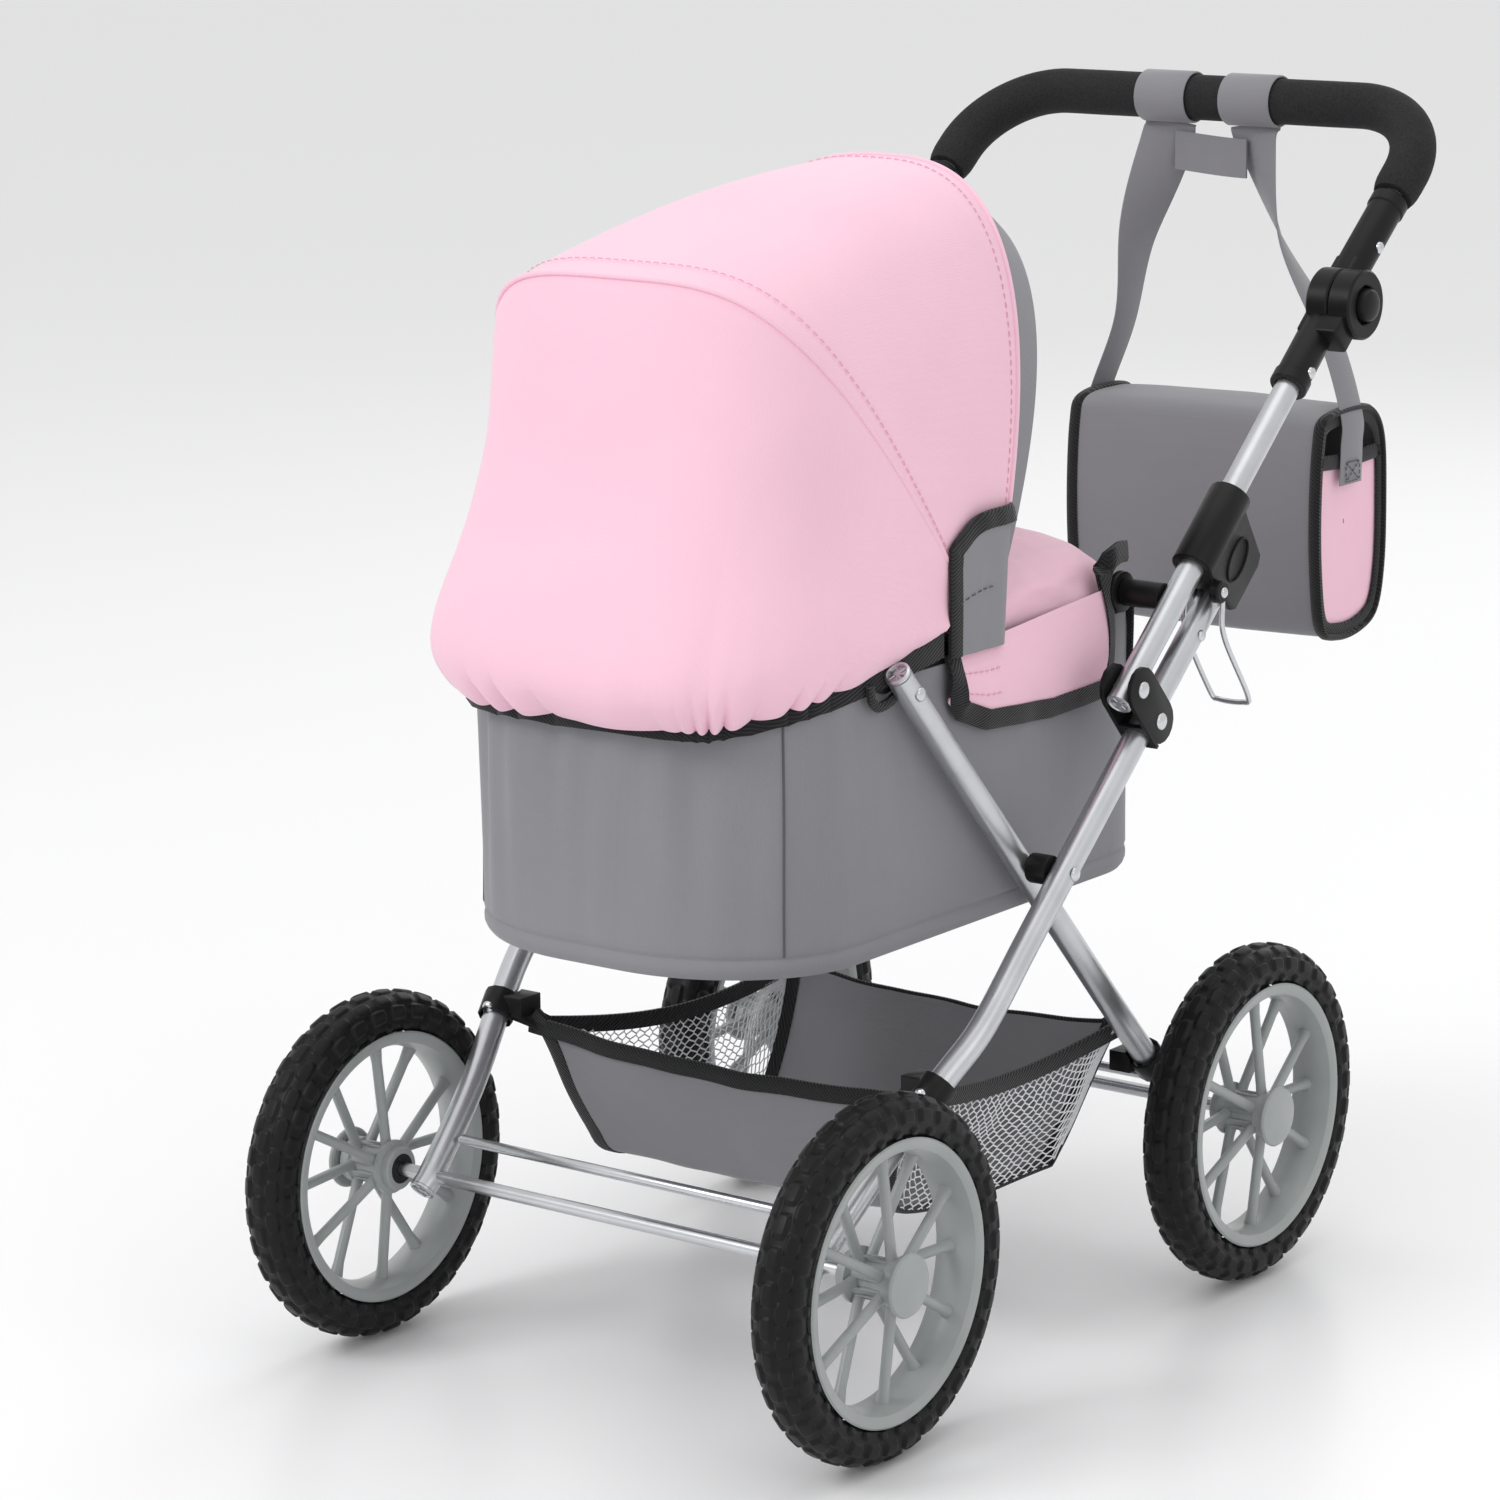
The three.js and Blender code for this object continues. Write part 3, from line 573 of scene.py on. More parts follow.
def ribbed(name, colour):
    """Woven binding tape with slanted ribs."""
    n = Nodes(name)
    turn = n.add("Mapping")
    turn.inputs["Rotation"].default_value = (0.6, 0.5, 0.8)
    n.feed(n.place(), turn, "Vector")
    wave = n.add("TexWave", wave_type="BANDS", bands_direction="X")
    wave.inputs["Scale"].default_value = 2 * math.pi / (20 * 1.5 * MM)
    wave.inputs["Distortion"].default_value = 1.0
    n.feed(turn.outputs["Vector"], wave, "Vector")
    n.colour(wave.outputs["Fac"], [(0.0, tinted(colour, 0.6)), (1.0, tinted(colour, 1.7))])
    n.value("Sheen Weight", 0.25)
    n.value("Specular IOR Level", 0.2)
    n.gloss(n.grain(80), 0.7, 0.9)
    n.bump(wave.outputs["Fac"], 0.5, 0.0006)
    return n.material


def plastic(name, colour, rough, relief, grain=500, coat=0.0, shine=0.5):
    """Moulded plastic with a fine spark-eroded skin."""
    n = Nodes(name)
    n.colour(n.grain(25, 4), [(0.3, tinted(colour, 0.92)), (0.75, tinted(colour, 1.1))])
    n.gloss(n.grain(70, 3), rough - 0.07, rough + 0.08)
    n.value("Specular IOR Level", shine)
    n.value("Coat Weight", coat)
    n.value("Coat Roughness", 0.3)
    n.bump(n.grain(grain, 2), relief, 0.0003)
    return n.material


def metal(name, colour, rough, metallic=1.0):
    """Satin metal: drawn tube or plated wire, with fine uneven gloss."""
    n = Nodes(name)
    n.colour(n.grain(40, 3), [(0.35, tinted(colour, 0.94)), (0.7, tinted(colour, 1.03))])
    n.gloss(n.grain(120, 4), rough - 0.06, rough + 0.07)
    n.value("Metallic", metallic)
    n.bump(n.grain(900, 2), 0.05, 0.0002)
    return n.material


def foam_skin(name, colour):
    """Closed-cell foam: matt, with small pores."""
    n = Nodes(name)
    pores = n.add("TexVoronoi", feature="F1")
    pores.inputs["Scale"].default_value = 700
    n.feed(n.place(), pores, "Vector")
    n.colour(pores.outputs["Distance"], [(0.0, tinted(colour, 0.6)), (0.6, tinted(colour, 1.5))])
    n.gloss(n.grain(90), 0.78, 0.95)
    n.value("Specular IOR Level", 0.3)
    n.bump(pores.outputs["Distance"], 0.35, 0.0004)
    return n.material


def plain_floor(name, colour):
    n = Nodes(name)
    n.value("Base Color", (*colour, 1))
    n.value("Roughness", 0.32)
    n.value("Specular IOR Level", 0.25)
    return n.material


PINK = cloth("pink_cloth", (0.955, 0.6, 0.715), thread=1.0, relief=0.1, sheen=0.3, spread=0.012)
GREY = cloth("grey_cloth", (0.262, 0.26, 0.277), thread=0.9, relief=0.12, sheen=0.3, spread=0.02)
LINING = cloth("lining_cloth", (0.27, 0.27, 0.285), thread=0.9, relief=0.12, sheen=0.2, spread=0.02)
PAD = cloth("pad_cloth", (0.55, 0.55, 0.58), thread=1.3, relief=0.4, sheen=0.2, spread=0.08)
NET = cloth("net_thread", (0.93, 0.93, 0.95), thread=0.5, relief=0.2, sheen=0.1, spread=0.05)
THREAD_PINK = cloth("pink_thread", (0.86, 0.47, 0.6), thread=0.4, relief=0.3, sheen=0.1)
THREAD_GREY = cloth("grey_thread", (0.12, 0.12, 0.13), thread=0.4, relief=0.3, sheen=0.1)
BINDING = ribbed("binding_tape", (0.012, 0.012, 0.013))
SILVER = metal("silver_tube", (0.62, 0.63, 0.65), 0.3, 0.9)
STEEL = metal("bright_steel", (0.66, 0.67, 0.69), 0.24)
BLACK = plastic("black_plastic", (0.009, 0.009, 0.0095), rough=0.36, relief=0.15, shine=0.2)
WHEEL_GREY = plastic("wheel_plastic", (0.335, 0.355, 0.352), rough=0.36, relief=0.06, coat=0.15)
RUBBER = plastic("tyre_rubber", (0.007, 0.007, 0.0075), rough=0.4, grain=300, relief=0.06, shine=0.2)
FOAM = foam_skin("foam_rubber", (0.013, 0.013, 0.014))
BOARD = plastic("fibre_board", (0.3, 0.22, 0.14), rough=0.75, grain=200, relief=0.3)


# ------------------------------------------------------------ small fittings
def rivet(centre, axis, radius=4.2, height=1.8, material=None):
    """A domed rivet head standing on a surface."""
    profile = [(radius, 0), (radius, 0.4)]
    for k in range(1, 7):
        t = k / 6 * math.pi / 2
        profile.append((radius * math.cos(t), 0.4 + height * math.sin(t)))
    return lathe("rivet", profile, centre, material or STEEL, segments=24, axis=axis)


def end_plug(centre, axis, radius=TUBE):
    """The ribbed plug in a tube's end: a rim, a recess and a hub with six ribs."""
    parts = [lathe("plug", [(radius - 1, -1), (radius, 0), (radius, 1.2), (radius - 1.4, 1.8),
                            (radius - 2.2, 1.2), (radius - 2.2, 0.2), (1.9, 0.2), (1.9, 1.4), (0, 1.4)],
                   centre, SILVER, segments=32, axis=axis)]
    direction = Vector(axis).normalized()
    side = direction.orthogonal().normalized()
    for k in range(6):
        out = Matrix.Rotation(k * math.pi / 3, 3, direction) @ side
        path = [centre + direction * 0.0007 + out * r * MM for r in (1.5, radius - 2)]
        parts.append(sweep("rib", path, ring(0.0005, 6), SILVER))
    return parts


def stitches(name, path, body, lift, slot, material, length=0.0032, gap=0.0022, thick=0.00035):
    """A dashed seam: short threads along a path, standing up along the directions in `lift`."""
    line = even(path, length + gap)
    share = length / (length + gap)
    objects = []
    for k in range(len(line) - 1):
        a, b = Vector(line[k]), Vector(line[k + 1])
        rise = Vector(lift[k * (len(lift) - 1) // (len(line) - 1)]) * thick
        ends = [a.lerp(b, share * f) + rise * up for f, up in ((0, 0.4), (0.5, 1.6), (1, 0.4))]
        objects.append(sweep("stitch", ends, ring(thick, 5), material))
    return placed(joined(name, objects), body, slot)


# ------------------------------------------------------------ wheels
TREAD_PITCH = 34
TREAD_ROWS = (
    (0, 3.4, 0.0, 0.34),
    (8.8, 3.4, 0.5, 0.32),
    (17.4, 3.7, 0.0, 0.32),
    (25.8, 2.1, 0.5, 0.17),
)  # middle and half width across the tyre in mm, then the phase and half length in pitches


def tread(turn, across):
    """The tread's height, 0 to 1: `turn` in pitches around, `across` in mm from the crown."""
    best = 0
    for centre, half, phase, reach in TREAD_ROWS:
        f = (turn + phase + 0.5) % 1 - 0.5
        d = (abs((abs(across) - centre) / half) ** 5 + abs(f / reach) ** 5) ** 0.2
        best = max(best, min(1, max(0, (1.12 - d) / 0.24)))
    return best


def tyre(name, centre):
    around = TREAD_PITCH * 20
    across = 84
    half_width = 13.6
    crown = WHEEL_RADIUS - 1.6
    middle_radius = 86.0
    section = []
    for j in range(across + 1):
        t = math.radians(-38 + 256 * j / across)
        c, s = math.cos(t), math.sin(t)
        x = half_width * math.copysign(abs(c) ** 0.86, c)
        r = middle_radius + (crown - middle_radius) * math.copysign(abs(s) ** 0.86, s)
        section.append((r, x))
    section = np.array(section)
    run = np.concatenate([[0], np.cumsum(np.linalg.norm(np.diff(section, axis=0), axis=1))])
    crown_at = run[across // 2]
    outward = np.gradient(section, axis=0)
    outward = np.stack([-outward[:, 1], outward[:, 0]], axis=1)
    outward /= np.linalg.norm(outward, axis=1, keepdims=True)
    if outward[across // 2, 0] < 0:
        outward = -outward
    verts = []
    faces = []
    for i in range(around):
        angle = 2 * math.pi * i / around
        for j in range(across + 1):
            lift = 1.6 * tread(i / 20, run[j] - crown_at)
            r, x = section[j] + outward[j] * lift
            verts.append(centre + Vector((x, r * math.cos(angle), r * math.sin(angle))) * MM)
        for j in range(across):
            a = i * (across + 1) + j
            b = ((i + 1) % around) * (across + 1) + j
            faces.append((a, a + 1, b + 1, b))
        a = i * (across + 1)
        b = ((i + 1) % around) * (across + 1)
        faces.append((a, b, b + across, a + across))
    return piece(name, verts, faces, [RUBBER], sharp=60)


def wheel(name, centre, side):
    """Deep flared rim, ribbed hub and twelve round spokes that lean to either end of the hub."""
    rim = [(75.4, -12.4), (77.6, -12.8), (78, -13.6), (77, -14.4), (73.4, -14.2), (71.2, -12.8),
           (69.2, -8), (68.2, -4), (67.8, 0), (68.2, 4), (69.2, 8), (71.2, 12.8), (73.4, 14.2),
           (77, 14.4), (78, 13.6), (77.6, 12.8), (75.4, 12.4), (74.6, 0), (75.4, -12.4)]
    parts = [lathe("rim", rim, centre, WHEEL_GREY, segments=128)]
    hub = [(4.4, -20), (11.5, -20), (12.5, -19), (12.5, -15), (15.5, -14), (15.5, -12), (11.4, -10.5),
           (10.6, 0), (11.4, 9), (13, 10), (13, 15.5), (12, 16.5), (4.4, 16.5), (4.4, -20)]
    parts.append(lathe("hub", [(r, x * side) for r, x in hub], centre, WHEEL_GREY, segments=48))
    for k in range(12):
        angle = math.radians(30 * k)
        end = 9 if k % 2 else -9
        spoke = []
        for x, r in ((end, 9), (end * 0.9, 16), (end * 0.35, 60), (end * 0.2, 69.5)):
            spoke.append(centre + Vector((x, r * math.cos(angle), r * math.sin(angle))) * MM)
        sizes = [1.25, 1.0, 1.0, 1.35]
        parts.append(sweep("spoke", spoke, ring(3.0 * MM, 16), WHEEL_GREY, scale=sizes))
        rib = [centre + Vector((x, 11.2 * math.cos(angle + 0.26), 11.2 * math.sin(angle + 0.26))) * MM
               for x in (-9.5, 9.5)]
        parts.append(sweep("rib", rib, ring(0.9 * MM, 6), WHEEL_GREY))
    parts.append(lathe("ring", [(4.3, -20.4 * side), (8.4, -20.4 * side), (8.8, -19.8 * side)],
                       centre, BLACK, segments=32))
    return joined(name, parts)


def hub_cap(name, centre, side):
    profile = [(0, 17.3), (16, 17.3), (17.3, 18.2), (17.6, 19.4), (16.8, 20.6)]
    for k in range(1, 9):
        t = k / 8
        profile.append((16.8 * (1 - t), 20.6 + 1.7 * (1 - (1 - t) ** 2)))
    return lathe(name, [(r, x * side) for r, x in profile], centre, WHEEL_GREY, segments=64)


def wire_clip(name, centre, side):
    """The spring clip between a hub and its cap that keeps the wheel on the axle."""
    path = []
    for k in range(22):
        t = math.radians(-60 + 300 * k / 21)
        path.append(centre + Vector((16.9 * side, 9 * math.cos(t), 9 * math.sin(t))) * MM)
    return tube(name, path, 0.0008, STEEL, sides=8, spacing=0.002)


def make_wheels():
    for name, side in SIDES:
        for end, y in (("front", 0), ("rear", WHEELBASE)):
            body = f"{end}_wheel_body_{name}"
            centre = at(HALF_TRACK * side, y, WHEEL_RADIUS)
            placed(tyre(f"{end}_tyre_tread_{name}", centre), body, "tyre", f"{end}_tyre_{name}")
            spoked = wheel(f"{end}_spoked_wheel_{name}", centre, side)
            placed(spoked, body, "grey_plastic", f"{end}_wheel_{name}")
            cap = hub_cap(f"{end}_cap_{name}", centre, side)
            placed(cap, body, "grey_plastic", f"{end}_hub_cap_{name}")
            placed(wire_clip(f"{end}_axle_clip_{name}", centre, side), body, "steel")


# ------------------------------------------------------------ frame
def front_leg_path(side):
    points = [(LEG_X, *step(FRONT_LEG_TOP, LEG_TILT, -down)) for down in (0, 60, 130, 200, 255)]
    points += [(LEG_X, 118, 206.5), (154, 88, 181), (142, 45, 140), (135, 0, 100)]
    points.append((135, *step((0, 100), LEG_TILT, -9)))
    return catmull([at(x * side, y, z) for x, y, z in points], 120)


def rear_leg_path(side):
    points = [REAR_LEG_TOP, CROSSING, (330, 135), (WHEELBASE, 100), (WHEELBASE + 6, 93.5)]
    return catmull([at(REAR_LEG_X * side, y, z) for y, z in points], 120)


def along(path, share):
    """A point on a path and the way that it runs there."""
    k = min(len(path) - 2, int(share * (len(path) - 1)))
    return Vector(path[k]), (Vector(path[k + 1]) - Vector(path[k])).normalized()


def plain_rod(name, node, radius, body, slot, tip=2.0):
    """A cross rod with domed ends."""
    low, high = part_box(node)
    centre = (low + high) / 2
    half = (high.x - low.x) / 2 / MM
    profile = [(0, -half), (radius * 0.7, -half + 0.3), (radius, -half + tip), (radius, half - tip),
               (radius * 0.7, half - 0.3), (0, half)]
    return placed(lathe(name, profile, centre, STEEL, segments=32), body, slot, node)


def leg(name, path, plugged):
    """A leg's tube with plugs in the ends named by 0 and 1."""
    parts = [tube("leg", path, TUBE * MM, SILVER)]
    for end in plugged:
        tip, way = along(path, end)
        way = way if end else -way
        parts += end_plug(tip + way * 0.001, way)
    return joined(name, parts)


def rivets(name, body, *heads):
    """Rivet heads as one piece: each head is (place in mm, way it faces, radius)."""
    domes = [rivet(at(*place), Vector((way, 0, 0)), radius) for place, way, radius in heads]
    return placed(joined(name, domes), body, "steel")


def make_frame():
    for end in ("front", "rear"):
        plain_rod(f"{end}_axle_rod", f"{end}_axle", 4, f"{end}_frame", "steel")
    for end in ("front", "rear"):
        plain_rod(f"{end}_brace_rod", f"{end}_brace", 3, f"{end}_frame", "steel")
    for name, side in SIDES:
        legs = (("front", front_leg_path(side), (0, 1)), ("rear", rear_leg_path(side), (0,)))
        for end, path, plugged in legs:
            tubes = leg(f"{end}_leg_tube_{name}", path, plugged)
            placed(tubes, f"{end}_frame", "silver_tube", f"{end}_leg_{name}")

        on_leg = (LEG_X + TUBE - 0.4) * side
        on_rear_leg = (REAR_LEG_X + TUBE - 0.4) * side
        outer_plate = (LEG_X + TUBE + 2.9) * side
        inner_plate = (LEG_X - TUBE - 2.9) * side
        rivets(f"front_leg_rivets_{name}", "front_frame",
               ((on_leg, *CROSSING), side, 4.2),
               ((outer_plate, *BRACKET_PIN), side, 5),
               ((inner_plate, *BRACKET_PIN), -side, 5),
               ((on_leg, *step(BRACKET_PIN, LEG_TILT, 62)), side, 3.4))
        rivets(f"rear_leg_rivets_{name}", "rear_frame",
               ((on_rear_leg, *step(REAR_LEG_TOP, math.radians(-48), 15)), side, 4),
               ((on_rear_leg, WHEELBASE - 16, 116), side, 3))
        rivets(f"handle_foot_rivets_{name}", "handle_lower",
               ((outer_plate, *FOLD_PIVOT), side, 5),
               ((inner_plate, *FOLD_PIVOT), -side, 5))

        for node, body, round_by in ((f"crossing_bush_{name}", "front_frame", 0.7),
                                     (f"fold_bracket_{name}", "front_frame", 0.6),
                                     (f"front_basket_clamp_{name}", "front_frame", 1.0),
                                     (f"rear_basket_clamp_{name}", "rear_frame", 1.0)):
            moulded(node, body, round_by)


# ------------------------------------------------------------ handle
def handle_curve(start, count=160):
    """The U of the handle from `start` mm above one knuckle to the same place on the other."""
    arc = GRIP_BEND * math.pi / 2
    straight = GRIP_REACH - start - GRIP_BEND
    half = LEG_X - GRIP_BEND
    total = 2 * (straight + arc + half)
    points = []
    for k in range(count + 1):
        t = k / count
        mirrored = t > 0.5
        s = (1 - t if mirrored else t) * total
        if s > straight + arc:
            x, up = LEG_X - GRIP_BEND - (s - straight - arc), GRIP_REACH
        elif s > straight:
            turn = (s - straight) / GRIP_BEND
            x = LEG_X - GRIP_BEND * (1 - math.cos(turn))
            up = GRIP_REACH - GRIP_BEND + GRIP_BEND * math.sin(turn)
        else:
            x, up = LEG_X, start + s
        points.append(at(-x if mirrored else x, *step(KNUCKLE, GRIP_TILT, up)))
    return np.array(points)


def foam_grip():
    path = even(handle_curve(87), 0.004)
    sizes = np.ones(len(path))
    for k in range(3):
        sizes[k] = sizes[-1 - k] = (0.86, 0.95, 0.99)[k]
    sizes += np.array([0.008 * ripple(p, 0.03) for p in path])
    path = np.concatenate([path[:1], path, path[-1:]])
    sizes = np.concatenate([[0.56], sizes, [0.56]])
    path[0] += (path[2] - path[1]) * 0.05
    path[-1] -= (path[-2] - path[-3]) * 0.05
    return sweep("foam_sleeve", path, ring(GRIP_RADIUS * MM, 32), FOAM, scale=sizes)


def knuckle_sleeve(side, angle, reach):
    """The socket that a tube is pushed into, with a rolled lip and a locating ridge."""
    direction = Vector((0, math.cos(angle), math.sin(angle)))
    start = at(LEG_X * side, *KNUCKLE)
    profile = [(0, 8), (9.2, 8), (10.5, 12), (10.5, reach - 9), (11.4, reach - 8), (11.4, reach - 1),
               (10.8, reach), (8, reach), (7.6, reach - 1)]
    return lathe("sleeve", profile, start, BLACK, segments=40, axis=direction)


def knuckle_drum(side, inner, outer, lip):
    """Half of the knuckle's drum, with a recess for the button where it has a lip."""
    radius = 20.5
    profile = [(0, inner), (radius - 1.2, inner), (radius, inner + 1.2), (radius, outer - 1.2)]
    profile += [(radius - 1.2, outer)]
    if lip:
        profile += [(12.2, outer), (11.4, outer - 0.8), (11, outer - 5), (0, outer - 5)]
    else:
        profile += [(0, outer)]
    return lathe("drum", [(r, x * side) for r, x in profile], at(0, *KNUCKLE), BLACK, segments=64)


def knuckle_web(side, angle, x0, x1):
    """The block between a drum half and its sleeve."""
    low, high = sorted((x0 * side, x1 * side))
    block = rounded_block("web", (low * MM, 0.004, -0.0095), (high * MM, 0.03, 0.0095), 0.002, BLACK)
    turn = Matrix.Rotation(angle, 4, "X")
    block.data.transform(Matrix.Translation(at(0, *KNUCKLE)) @ turn)
    return block


def lower_tube(name, side):
    foot = at(LEG_X * side, *HANDLE_FOOT)
    top = at(LEG_X * side, *step(KNUCKLE, LEG_TILT, -24))
    parts = [tube("tube", [foot, top], TUBE * MM, SILVER, spacing=0.05)]
    parts += end_plug(foot, (foot - top).normalized())
    return joined(f"handle_lower_tube_{name}", parts)


def push_button(name, side):
    """The knuckle's domed release button."""
    dome = [(0, 178.8), (9.6, 178.8), (9.8, 185), (9.2, 186.6)]
    dome += [(9.2 * math.cos(t), 186.6 + 2.6 * math.sin(t)) for t in np.linspace(0.2, math.pi / 2, 7)]
    profile = [(r, x * side) for r, x in dome]
    return lathe(f"knuckle_push_button_{name}", profile, at(0, *KNUCKLE), BLACK, 48)


def make_handle():
    bar = tube("handlebar_tube", handle_curve(24), TUBE * MM, SILVER)
    placed(bar, "handle_upper", "silver_tube", "handlebar")
    placed(foam_grip(), "handle_upper", "foam", "foam_grip")
    for name, side in SIDES:
        placed(lower_tube(name, side), "handle_lower", "silver_tube", f"handle_tube_{name}")
        down = LEG_TILT + math.pi
        for half, node, body, angle, reach, drum, web in (
            ("outer", "lower", "handle_lower", down, 66.5, (168.7, 183.4, True), (153, 180)),
            ("inner", "upper", "handle_upper", GRIP_TILT, 84, (154, 168.3, False), (153, 168)),
        ):
            parts = [knuckle_sleeve(side, angle, reach), knuckle_drum(side, *drum),
                     knuckle_web(side, angle, *web)]
            moulding = joined(f"knuckle_{half}_half_{name}", parts)
            placed(moulding, body, "black_plastic", f"knuckle_{node}_{name}")
        placed(push_button(name, side), f"button_{name}", "black_plastic", f"knuckle_button_{name}")
        on_sleeve = (LEG_X + 10) * side
        below = (on_sleeve, *step(KNUCKLE, LEG_TILT, -54))
        above = (on_sleeve, *step(KNUCKLE, GRIP_TILT, 46))
        rivets(f"knuckle_rivets_{name}", "handle_lower", (below, side, 3.6))
        rivets(f"grip_rivets_{name}", "handle_upper", (above, side, 3.6))
        make_lock(name, side)


def make_lock(name, side):
    """The slide lock with its thumb recess, lug and wire bail."""
    node = f"slide_lock_{name}"
    parts = [refined(node, BLACK, 1.2)]
    centre = step(FOLD_PIVOT, LEG_TILT, 88 + 24, -20)
    oval = []
    for k in range(48):
        t = 2 * math.pi * k / 48
        y, z = step(centre, LEG_TILT + 0.15, 14 * math.cos(t), 7.5 * math.sin(t))
        oval.append(at((LEG_X + 11.3) * side, y, z))
    parts.append(sweep("recess", oval, ring(0.0007, 8), BLACK, closed=True))
    lug = step(FOLD_PIVOT, LEG_TILT, 85, -16)
    lug_profile = [(0, 10.5), (6.5, 10.5), (6.5, 15), (5.6, 16), (0, 16)]
    parts.append(lathe("lug", [(r, (LEG_X + x) * side) for r, x in lug_profile], at(0, *lug), BLACK, 32))
    placed(joined(f"slide_lock_moulding_{name}", parts), f"lock_{name}", "black_plastic", node)
    rivets(f"lock_rivet_{name}", f"lock_{name}", (((LEG_X + 16) * side, *lug), side, 3.2))

    root = step(FOLD_PIVOT, LEG_TILT, 85, -LEG_SPACING + 6)
    foot = (root[0] + 31, root[1] - 66)
    knee = (root[0] + 2, root[1] - 22)
    half = 12.8
    lead = 5
    stops = [(half, root), (half, knee), (half, (foot[0] - lead / 2, foot[1] + lead)), (half - lead, foot)]
    stops += [(-x, point) for x, point in reversed(stops)]
    path = catmull([at((LEG_X + x) * side, *point) for x, point in stops], 90)
    placed(tube(f"bail_wire_{name}", path, 0.0016, STEEL, sides=12, spacing=0.002), f"lock_{name}", "steel",
           f"release_bail_{name}")


# ------------------------------------------------------------ cot
def cot_outline(outset, count=200):
    """The cot's plan as (x, y) in mm, `outset` mm outside its wall, from the rear middle round."""
    w = COT["half"] + outset
    y0 = COT["front"] - outset
    y1 = COT["rear"] + outset
    rx, ry = COT_FRONT_CORNER
    r = COT_REAR_CORNER + outset
    line = [(0, y1)]
    line += [(w - r + r * math.sin(t), y1 - r + r * math.cos(t)) for t in np.linspace(0, math.pi / 2, 16)]
    line += [(w - rx + rx * math.cos(t), y0 + ry - ry * math.sin(t)) for t in np.linspace(0, math.pi / 2, 24)]
    line += [(-x, y) for x, y in reversed(line)]
    ring_points = even([(x, y, 0) for x, y in line], 0.5)
    wanted = np.linspace(0, len(ring_points) - 1, count + 1)[:-1]
    return np.array([ring_points[int(round(k))][:2] for k in wanted])


def hood_hem_height(y):
    """How low the hood's hem lies over the tub at a given y, for the folds below it."""
    return 0.5 - 0.5 * math.cos(math.pi * min(1, max(0, (160 - y) / 120)))


def folds_down(obj):
    """Gives a tub piece a mesh of its own."""
    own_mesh(obj)


def make_tub():
    """The tub's cloth: slack folds below the elastic, and a seam round its foot."""
    count = TUB_COLUMNS
    heights = [0, 2, 5, 8, 10.5, 11.5, 12.5, 14, 18, 26, 38]
    heights += [52, 68, 84, 98, 110, 120, 128, 135, 142, 148, 152]
    outline = cot_outline(0, count)
    normals = np.roll(outline, -1, axis=0) - np.roll(outline, 1, axis=0)
    normals = np.stack([-normals[:, 1], normals[:, 0]], axis=1)
    normals /= np.linalg.norm(normals, axis=1, keepdims=True)
    if np.sum(normals[count // 4] * outline[count // 4]) < 0:
        normals = -normals
    rows = []
    for h in heights:
        row = []
        for k, (x, y) in enumerate(outline):
            share = h / 152
            fold = hood_hem_height(y) * ripple((x * 0.06, y * 0.06, share * 0.8), 1.0, 3) * 4.6
            fold += 2.2 * ripple((x * 0.03, y * 0.03, share * 0.5), 1.0, 8)
            lift = fold * min(1, share * 1.6) * (1 if share < 0.92 else (1 - share) / 0.08)
            groove = -1.3 * math.exp(-((h - 11.5) / 1.1) ** 2)
            pucker = 0.5 * math.exp(-((h - 14) / 5) ** 2) * ripple((x * 0.25, y * 0.25, 0), 1.0, 5)
            round_foot = -3.0 * (1 - min(1, h / 6)) ** 2
            out = lift + groove + pucker + round_foot - 0.4
            row.append(at(x + normals[k][0] * out, y + normals[k][1] * out, COT["floor"] + h))
        rows.append(row)
    wall = sheet_mesh("wall", rows, 0.0016, [GREY, LINING], at(0, 170, 320), wrap=True, sharp=80)
    ring_points = [Vector(p) for p in rows[0]]
    centre = at(0, 170, COT["floor"] + 1)
    floor_rows = []
    for share in (1.0, 0.97, 0.9, 0.7, 0.45, 0.2, 0.02):
        drop = 0.001 + 0.0015 * (1 - share)
        floor_rows.append([centre.lerp(Vector((p.x, p.y, centre.z)), share) - Vector((0, 0, drop))
                           for p in ring_points])
    floor = sheet_mesh("floor", floor_rows, 0.0016, [GREY], at(0, 170, 320), wrap=True)
    tub = placed(joined("cot_cloth_tub", [wall, floor]), "cot", "grey_fabric", "cot_tub")
    folds_down(tub)
    return rows


def make_tub_seams(rows):
    """The two upright seams at the front corners."""
    outline = cot_outline(0, TUB_COLUMNS)
    for name, side in SIDES:
        best = min(range(TUB_COLUMNS), key=lambda k: np.hypot(outline[k][0] - side * 104, outline[k][1] - 17))
        inner = np.array([tuple(rows[i][best]) for i in range(6, 21)])
        out = Vector((outline[best][0], outline[best][1] - 90, 0)).normalized()
        line = [Vector(p) + out * 0.0002 for p in catmull(inner, 60)]
        seam = sweep(f"tub_seam_{name}", line, ring(0.0007, 6), THREAD_GREY)
        placed(seam, "cot", "grey_fabric")
        folds_down(seam)


def make_cot():
    rows = make_tub()
    make_tub_seams(rows)
    outline = cot_outline(-3.5, 240)
    path = [at(x, y, COT["rim"] + 2.5) for x, y in outline]
    frame_ring = sweep("cot_top_frame", path, ring(0.0032, 12), BLACK, closed=True)
    placed(frame_ring, "cot", "black_plastic", "cot_rim")
    for name, _ in SIDES:
        moulded(f"cot_bracket_{name}", "cot", 1.0)
        moulded(f"cot_catch_{name}", "cot", 1.0)
        moulded(f"cot_peg_{name}", "handle_lower", 0.8)
    placed(refined("base_board", BOARD, 0.8), "cot_base", "board", "base_board")
    placed(mattress(), "cot_base", "pad_fabric", "mattress")


